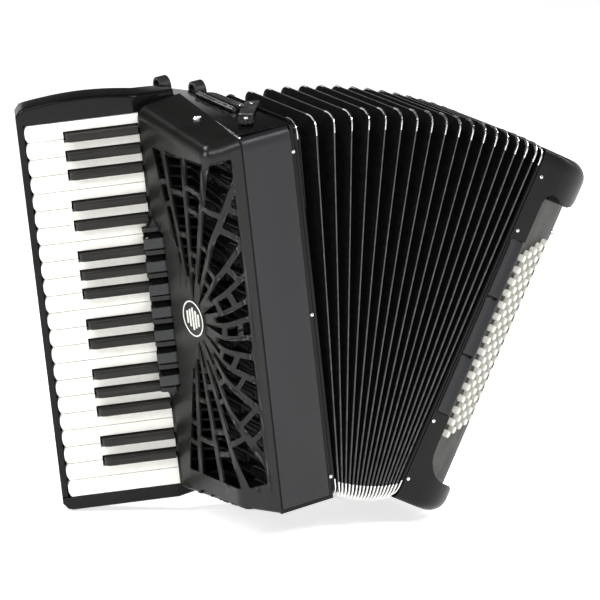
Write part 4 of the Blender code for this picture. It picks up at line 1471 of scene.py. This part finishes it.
def recess_cutter():
    """The opening over the button board, flared at both ends, from its outline in X and Z."""
    outline = [(150.0, 440.0), (116.0, 404.0), (104.0, 388.0), (96.0, 379.0), (88.0, 372.0),
               (78.0, 366.5), (66.0, 364.0), (56.0, 363.4), (48.0, 364.5), (40.0, 368.5),
               (33.0, 370.5), (27.0, 369.0), (23.0, 364.5), (21.2, 358.0), (21.0, 350.0),
               (21.0, 72.0), (21.6, 62.0), (24.0, 54.0), (29.0, 46.5), (36.0, 41.0), (45.0, 38.0),
               (56.0, 37.0), (76.0, 36.5), (86.0, 34.5), (94.0, 30.5), (101.0, 23.5),
               (107.0, 13.0), (114.0, -6.0), (150.0, -60.0)]
    rings = []
    for rise in (0.0, 130.0):
        rings.append([(*board_point((x - BASS_FRONT) * math.cos(BOARD_TURN), rise), z)
                      for x, z in outline])
    shape = bmesh.new()
    loft(shape, rings)
    return make_object("recess", shape, BASS, [])


def board_well_cutter():
    """The space behind the button board, for the button stems."""
    shape = bmesh.new()
    far_side = BOARD_LENGTH - 6.0
    outline = [board_point(across, rise)
               for across, rise in ((4.0, 1.0), (4.0, -16.0), (far_side, -16.0), (far_side, 1.0))]
    prism(shape, outline, BOARD_LOW + 10.0, BOARD_TOP - 10.0)
    return make_object("well", shape, BASS, [])


def air_well_cutter():
    shape = bmesh.new()
    radius = AIR_BUTTON_RADIUS + 0.6
    lathe(shape, [(radius, -19.0), (radius, 6.0)], air_button_place(), 40)
    return make_object("air_well", shape, BASS, [])


def build_bass_case():
    """The case, hollowed from the bellows side and cut for the board, registers and air button."""
    case = make_object("bass_case_shell", bass_shell(), BASS, [BASS_SATIN])
    start, end = BASS_REGISTER_SPAN
    registers_top = BASS_REGISTER_LOW + 2 * BASS_REGISTER_PITCH + BASS_REGISTER_LENGTH
    inner_back = BASS_DEPTH - 8.0
    cutters = [
        box_cutter("cavity", (-8.0, 8.0, BASS_LOW + 12.0), (10.0, inner_back, BASS_TOP - 12.0), BASS),
        box_cutter("deep", (9.0, 72.0, BASS_LOW + 20.0),
                   (BASS_WIDTH - 12.0, inner_back, BASS_TOP - 20.0), BASS),
        recess_cutter(),
        box_cutter("pocket", (start - 0.8, -3.0, BASS_REGISTER_LOW - 0.8),
                   (end + 3.0, 7.0, registers_top + 0.8), BASS),
        board_well_cutter(),
        air_well_cutter(),
    ]
    combine(case, cutters, "DIFFERENCE")
    bevel_modifier(case, 0.9, 3, 34.0)
    shade(case, 40.0)
    fit(case, "bass", ("bass_case",))


def build_strap_pads():
    shape = bmesh.new()
    for z in STRAP_SPAN:
        box(shape, (BASS_WIDTH - 1.0, STRAP_WIDTH[0] - 4.0, z - 9.0),
            (BASS_WIDTH + PAD_HEIGHT, STRAP_WIDTH[1] + 4.0, z + 9.0))
    soften(shape, 1.5)
    add_piece("strap_pads", shape, BASS, "bass", [LEATHER])


def button_centres():
    centres = []
    for row in range(BUTTON_ROWS):
        for column in range(BUTTON_COLUMNS):
            across = BUTTON_FIRST_ROW + row * BUTTON_ROW_PITCH
            centres.append((across, BUTTON_TOP - column * BUTTON_PITCH + row * BUTTON_SLANT))
    return centres


def board_matrix(across, height, rise):
    """A matrix whose Z points out of the button board, X across it and Y up it."""
    normal = Vector((math.sin(BOARD_TURN), -math.cos(BOARD_TURN), 0.0))
    across_axis = Vector((math.cos(BOARD_TURN), math.sin(BOARD_TURN), 0.0))
    up = Vector((0.0, 0.0, 1.0))
    turn = Matrix((across_axis, up, normal)).transposed().to_4x4()
    x, y = board_point(across, rise)
    return Matrix.Translation((x, y, height)) @ turn


def build_button_board():
    """The sloping plate with a hole for each button."""
    near, far = BOARD_START - 4.0, BOARD_LENGTH - 4.0
    low, high = BOARD_LOW - 4.0, BOARD_TOP - 0.5
    outline = [(near, low), (far, low), (far, high), (near, high)]
    holes = []
    for across, z in button_centres():
        holes.append([(across + x, z + y) for x, y in circle(BUTTON_RADIUS + 0.55, 20)])
    shape = filled(outline, holes)
    thicken(shape, -BOARD_THICKNESS)
    shape.transform(board_matrix(0.0, 0.0, BOARD_THICKNESS))
    add_piece("button_board_plate", shape, BASS, "bass", [OLIVE], ("bass_button_board",))


def build_buttons():
    """Every button is turned: a straight stem, a rounded rim and a low dome."""
    top = BUTTON_RISE + BOARD_THICKNESS
    radius = BUTTON_RADIUS
    profile = [(radius - 0.2, -CARRIER_DROP), (radius, -CARRIER_DROP + 0.5), (radius, top - 1.6),
               (radius - 0.25, top - 0.9), (radius - 0.8, top - 0.35), (radius - 1.7, top - 0.1),
               (radius - 2.8, top), (0.4, top + 0.05)]
    shape = bmesh.new()
    for across, z in button_centres():
        lathe(shape, profile, board_matrix(across, z, 0.0), 20)
    add_piece("button_studs", shape, BASS, "bass_buttons", [STUD_IVORY],
              ("bass_buttons",), angle=60.0)


def build_bass_registers():
    """Three satin plates, dished along their length and flared a little at their ends."""
    start, end = BASS_REGISTER_SPAN
    length = BASS_REGISTER_LENGTH
    back = BASS_REGISTER_THICKNESS - BASS_REGISTER_PROUD
    section = [(start, back), (start, 0.2), (start + 0.5, -0.9), (start + 1.6, -1.2),
               (start + 5.0, -0.55), (start + 9.0, -0.6), (end - 3.4, -1.7),
               (end - 1.8, -BASS_REGISTER_PROUD), (end - 0.6, -1.5), (end, -0.3), (end, 0.1),
               (end - 2.6, back)]
    stations = [(0.0, 0.9), (0.4, 0.35), (1.2, 0.0), (6.0, 0.0)]
    stations += [(length - run, sink) for run, sink in reversed(stations)]
    for number in range(3):
        low = BASS_REGISTER_LOW + (2 - number) * BASS_REGISTER_PITCH
        rings = []
        for run, sink in stations:
            rings.append([(x, y + (sink if y < back else 0.0), low + run) for x, y in section])
        shape = bmesh.new()
        loft(shape, rings)
        name = f"bass_register_{number + 1}"
        add_piece(f"bass_register_plate_{number + 1}", shape, BASS, name, [BASS_TAB],
                  (name,), angle=50.0)


def strap_lift(share):
    return STRAP_REACH * min(1.0, math.sin(math.pi * share) * 1.35) if 0.0 < share < 1.0 else 0.0


def strap_height(share):
    """Height of a point of the hand strap, which runs a little past both pads."""
    low, high = STRAP_SPAN
    return low - 7.0 + (high - low + 14.0) * share


def build_hand_strap():
    """A padded leather band over the hand."""
    near, far = STRAP_WIDTH
    section = []
    width = 12
    for i in range(width + 1):
        share = i / width
        crown = 1.0 - abs(2 * share - 1) ** 4
        section.append((near + (far - near) * share, STRAP_THICKNESS * (0.55 + 0.45 * crown)))
    rings = []
    count = 40
    for i in range(count + 1):
        share = i / count
        z = strap_height(share)
        side = STRAP_SIDE + strap_lift(share)
        outer = [(side + out, y, z) for y, out in section]
        inner = [(side, y, z) for y, _ in reversed(section)]
        rings.append(outer + inner)
    shape = bmesh.new()
    loft(shape, rings)
    add_piece("hand_strap_band", shape, BASS, "bass", [LEATHER], ("hand_strap",),
              angle=60.0)


def build_strap_stitches():
    """A row of stitches along each edge of the hand strap."""
    shape = bmesh.new()
    count, half_stitch = 90, 0.0035
    for y in (STRAP_WIDTH[0] + 4.0, STRAP_WIDTH[1] - 4.0):
        for i in range(count):
            ends = []
            for offset in (-half_stitch, half_stitch):
                share = (i + 0.5) / count + offset
                x = STRAP_SIDE + strap_lift(share) + STRAP_THICKNESS * 0.86 + 0.25
                ends.append(Vector((x, y, strap_height(share))))
            middle = ends[0].lerp(ends[1], 0.5) + Vector((0.3, 0.0, 0.0))
            sweep(shape, [ends[0], middle, ends[1]], circle(0.35, 5), (0.0, 1.0, 0.0))
    add_piece("hand_strap_stitching", shape, BASS, "bass", [TAPE])


def build_air_button():
    """A round nickel cap, dished in the middle."""
    radius = AIR_BUTTON_RADIUS
    profile = [(radius - 0.2, -11.0), (radius, -10.0), (radius, AIR_BUTTON_RISE - 2.0),
               (radius - 0.8, AIR_BUTTON_RISE - 0.6), (radius - 2.0, AIR_BUTTON_RISE),
               (radius - 4.0, AIR_BUTTON_RISE - 0.7), (0.5, AIR_BUTTON_RISE - 1.2)]
    shape = bmesh.new()
    lathe(shape, profile, air_button_place(), 32)
    add_piece("air_button_cap", shape, BASS, "air_button", [NICKEL], ("air_button",))


# ---------------------------------------------------------------- straps and fittings

def build_strap_mount():
    """A nickel rail across the back of the case's top, with a post for each strap loop."""
    top = CASE_BACK_HEIGHT
    back = CASE_DEPTH + 0.3
    half_post = 3.5
    shape = bmesh.new()
    box(shape, (-66.0, back, top - 34.0), (-8.0, back + 2.9, top - 24.0))
    for x in MOUNT_POSTS:
        box(shape, (x - half_post, back, top - 30.0),
            (x + half_post, back + 3.1, case_top(x, CASE_DEPTH) - 1.0))
    soften(shape, 0.8)
    add_piece("mount_rail", shape, TREBLE, "treble", [NICKEL], ("strap_mount",))


def build_strap_loops():
    """A rolled leather loop on each post, and a screw in the case beside it."""
    section = [(-6.0, -1.3), (-5.4, -1.6), (5.4, -1.6), (6.0, -1.3),
               (6.0, 1.0), (5.4, 1.5), (-5.4, 1.5), (-6.0, 1.0)]
    screw_y = CASE_DEPTH - 8.0
    for number, x in enumerate(MOUNT_POSTS, start=1):
        centre = (CASE_DEPTH + 12.0, case_top(x, CASE_DEPTH))
        path = [(x, y, z) for y, z in arc(centre, 9.0, -90.0, 258.0, 24)]
        shape = bmesh.new()
        sweep(shape, path, section, (1.0, 0.0, 0.0), closed=True)
        add_piece(f"strap_loop_{number}", shape, TREBLE, "treble", [LEATHER],
                  angle=60.0)
        place = Matrix.Translation((x - 9.0, screw_y, case_top(x, screw_y) + 1.5))
        shape = bmesh.new()
        lathe(shape, [(2.2, -1.0), (2.2, 1.0), (1.6, 1.6), (0.3, 1.8)], place, 14)
        add_piece(f"strap_screw_{number}", shape, TREBLE, "treble", [NICKEL])


def on_case_top(points, lift):
    """Points in X and Y, laid at a lift over the case's sloping top."""
    return [(x, y, case_top(min(x, 0.0), y) + lift) for x, y in points]


def build_closing_strap():
    """The unsnapped closing strap, lying over the case's top, with its scalloped end."""
    line = [(6.0, 100.0), (-3.0, 88.0), (-13.0, 74.0), (-23.0, 59.0), (-32.0, 44.0), (-40.0, 30.0)]
    rings = []
    for i, point in enumerate(line):
        before, after = Vector(line[max(i - 1, 0)]), Vector(line[min(i + 1, len(line) - 1)])
        along = (after - before).normalized()
        side = Vector((-along.y, along.x)) * 7.5
        edges = (Vector(point) - side, Vector(point) + side)
        rings.append(on_case_top(edges, 2.2) + on_case_top(edges[::-1], 4.4))
    shape = bmesh.new()
    loft(shape, rings)
    soften(shape, 0.6)
    scallops = arc(line[-1], (6.0, 5.0), -200.0, -32.0, 4)
    for place in on_case_top(scallops, 0.0):
        lathe(shape, [(2.6, 2.2), (2.8, 3.0), (2.6, 4.4)], Matrix.Translation(place), 10)
    add_piece("closing_strap", shape, TREBLE, "treble", [LEATHER], ("bellows_strap",),
              angle=60.0)


def build_strap_metal():
    """The closing strap's three snaps and its keeper, and the round bar beside it."""
    shape = bmesh.new()
    for x, y, radius in ((-17.0, 84.0, 3.4), (-1.0, 91.0, 2.6), (-36.0, 37.0, 2.6)):
        place = on_case_top([(x, y)], 4.2)[0]
        profile = [(radius, 0.0), (radius, 0.7), (radius * 0.8, 1.4), (radius * 0.4, 1.7),
                   (0.2, 1.8)]
        lathe(shape, profile, Matrix.Translation(place), 18)
    keeper = on_case_top([(-37.0, 50.0), (-25.0, 43.0)], 5.6)
    sweep(shape, keeper, circle(1.1, 8), (0.0, 0.0, 1.0))
    add_piece("strap_snaps", shape, TREBLE, "treble", [NICKEL])
    shape = bmesh.new()
    bar = on_case_top([(-37.0, 142.0), (-33.0, 109.0), (-29.0, 76.0)], 2.4)
    sweep(shape, bar, circle(2.8, 16), (0.0, 0.0, 1.0))
    add_piece("top_plate", shape, TREBLE, "treble", [NICKEL])


def build_strap_tail():
    """The broad leather tab beside the closing strap."""
    tail = rounded([(-30.0, 142.0), (-15.0, 144.0), (-9.0, 78.0), (-22.0, 75.0)], 5.0)
    shape = bmesh.new()
    loft(shape, [on_case_top(tail, lift) for lift in (1.8, 5.0)])
    soften(shape, 0.8)
    add_piece("strap_tail", shape, TREBLE, "treble", [LEATHER], angle=60.0)


def build_seam_bead():
    """A polished bead along the top of the seam between case and hood."""
    count = 8
    path = []
    for i in range(count + 1):
        y = -3.0 + (HOOD_BACK + 3.0) * i / count
        path.append((-PANEL_WIDTH + 0.4, y, case_top(-PANEL_WIDTH, y) + 0.5))
    shape = bmesh.new()
    sweep(shape, path, circle(1.1, 8), (1.0, 0.0, 0.0))
    add_piece("seam_bead", shape, TREBLE, "treble", [NICKEL])


def build_hood_peg():
    """The small oval peg on the hood's roof."""
    x, y = PEG_PLACE
    oval = Matrix.Diagonal((1.0, 0.55, 1.0, 1.0))
    place = Matrix.Translation((x, y, roof_height(x, y))) @ oval
    shape = bmesh.new()
    lathe(shape, [(5.0, -2.0), (5.0, 0.8), (4.2, 1.8), (2.6, 2.4), (0.3, 2.5)], place, 24)
    add_piece("hood_peg", shape, TREBLE, "treble", [NICKEL])


# ---------------------------------------------------------------- stage

# Height above the horizon and tone of each end of the sky's ramp.
SKY = [(0.18, 1.0), (0.34, 0.05)]

# Name, place, target and size of each soft box in metres, and its power in watts.
LIGHTS = [
    ("left_box", (-2.4, -0.9, 1.7), (-0.1, 0.0, 0.25), (0.7, 1.2), 36.0),
    ("front_box", (-0.5, -2.1, 2.5), (0.05, 0.0, 0.25), (1.6, 0.6), 34.0),
    ("panel_box", (1.0, -2.1, 2.2), (-0.05, 0.0, 0.4), (1.0, 0.5), 26.0),
    ("top_box", (-0.9, 0.5, 2.4), (0.0, 0.0, 0.3), (0.9, 0.5), 26.0),
    ("right_strip", (2.2, -0.6, 1.4), (0.1, 0.0, 0.25), (0.2, 1.2), 16.0),
]


def build_camera():
    data = bpy.data.cameras.new("camera")
    data.lens = CAMERA_LENS
    data.sensor_width = 36.0
    data.clip_start = 0.1
    data.clip_end = 100.0
    camera = bpy.data.objects.new("camera", data)
    camera.location = CAMERA_PLACE
    camera.rotation_euler = [math.radians(angle) for angle in CAMERA_TURN]
    bpy.context.scene.collection.objects.link(camera)
    bpy.context.scene.camera = camera


def add_light(name, place, target, size, power):
    data = bpy.data.lights.new(name, "AREA")
    data.shape = "RECTANGLE"
    data.size, data.size_y = size
    data.energy = power
    light = bpy.data.objects.new(name, data)
    light.location = place
    light.rotation_euler = (Vector(target) - Vector(place)).to_track_quat("-Z", "Y").to_euler()
    bpy.context.scene.collection.objects.link(light)


def build_floor():
    reach = 12.0
    corners = [(-reach, -reach, 0.0), (reach, -reach, 0.0), (reach, reach, 0.0),
               (-reach, reach, 0.0)]
    mesh = bpy.data.meshes.new("floor")
    mesh.from_pydata(corners, [], [(0, 1, 2, 3)])
    mesh.materials.append(make_floor())
    floor = bpy.data.objects.new("floor", mesh)
    bpy.context.scene.collection.objects.link(floor)


def build_sky():
    """A white horizon that darkens upwards, so that tops stay dark and edges stay bright."""
    world = bpy.data.worlds.new("studio")
    world.use_nodes = True
    nodes, links = world.node_tree.nodes, world.node_tree.links
    direction = nodes.new("ShaderNodeSeparateXYZ")
    sky = nodes.new("ShaderNodeValToRGB")
    links.new(nodes.new("ShaderNodeTexCoord").outputs["Generated"], direction.inputs["Vector"])
    links.new(direction.outputs["Z"], sky.inputs["Fac"])
    links.new(sky.outputs["Color"], nodes["Background"].inputs["Color"])
    for element, (height, tone) in zip(sky.color_ramp.elements, SKY):
        element.position = height
        element.color = (tone, tone, tone, 1.0)
    bpy.context.scene.world = world


def finish_carried_nodes():
    """The reed blocks keep their solids and get bare spruce."""
    for node in ("treble_reed_block", "bass_reed_block"):
        obj = frame["nodes"][node]
        obj.data.materials.clear()
        obj.data.materials.append(WOOD)


build_camera()
build_floor()
build_sky()
for values in LIGHTS:
    add_light(*values)
bpy.context.scene.view_settings.view_transform = "Standard"
build_treble_case()
build_front_panel()
build_hood()
build_emblem()
build_registers()
build_register_bed()
build_fingerboard()
build_white_keys()
build_black_keys()
build_bellows()
build_bass_case()
build_strap_pads()
build_button_board()
build_buttons()
build_bass_registers()
build_hand_strap()
build_strap_stitches()
build_air_button()
build_strap_mount()
build_strap_loops()
build_closing_strap()
build_strap_metal()
build_strap_tail()
build_seam_bead()
build_hood_peg()
add_pins("panel_pins", PANEL_PINS, TREBLE, "treble", 1.3)
add_pins("bass_pins", BASS_PINS, BASS, "bass", 1.3)
finish_carried_nodes()
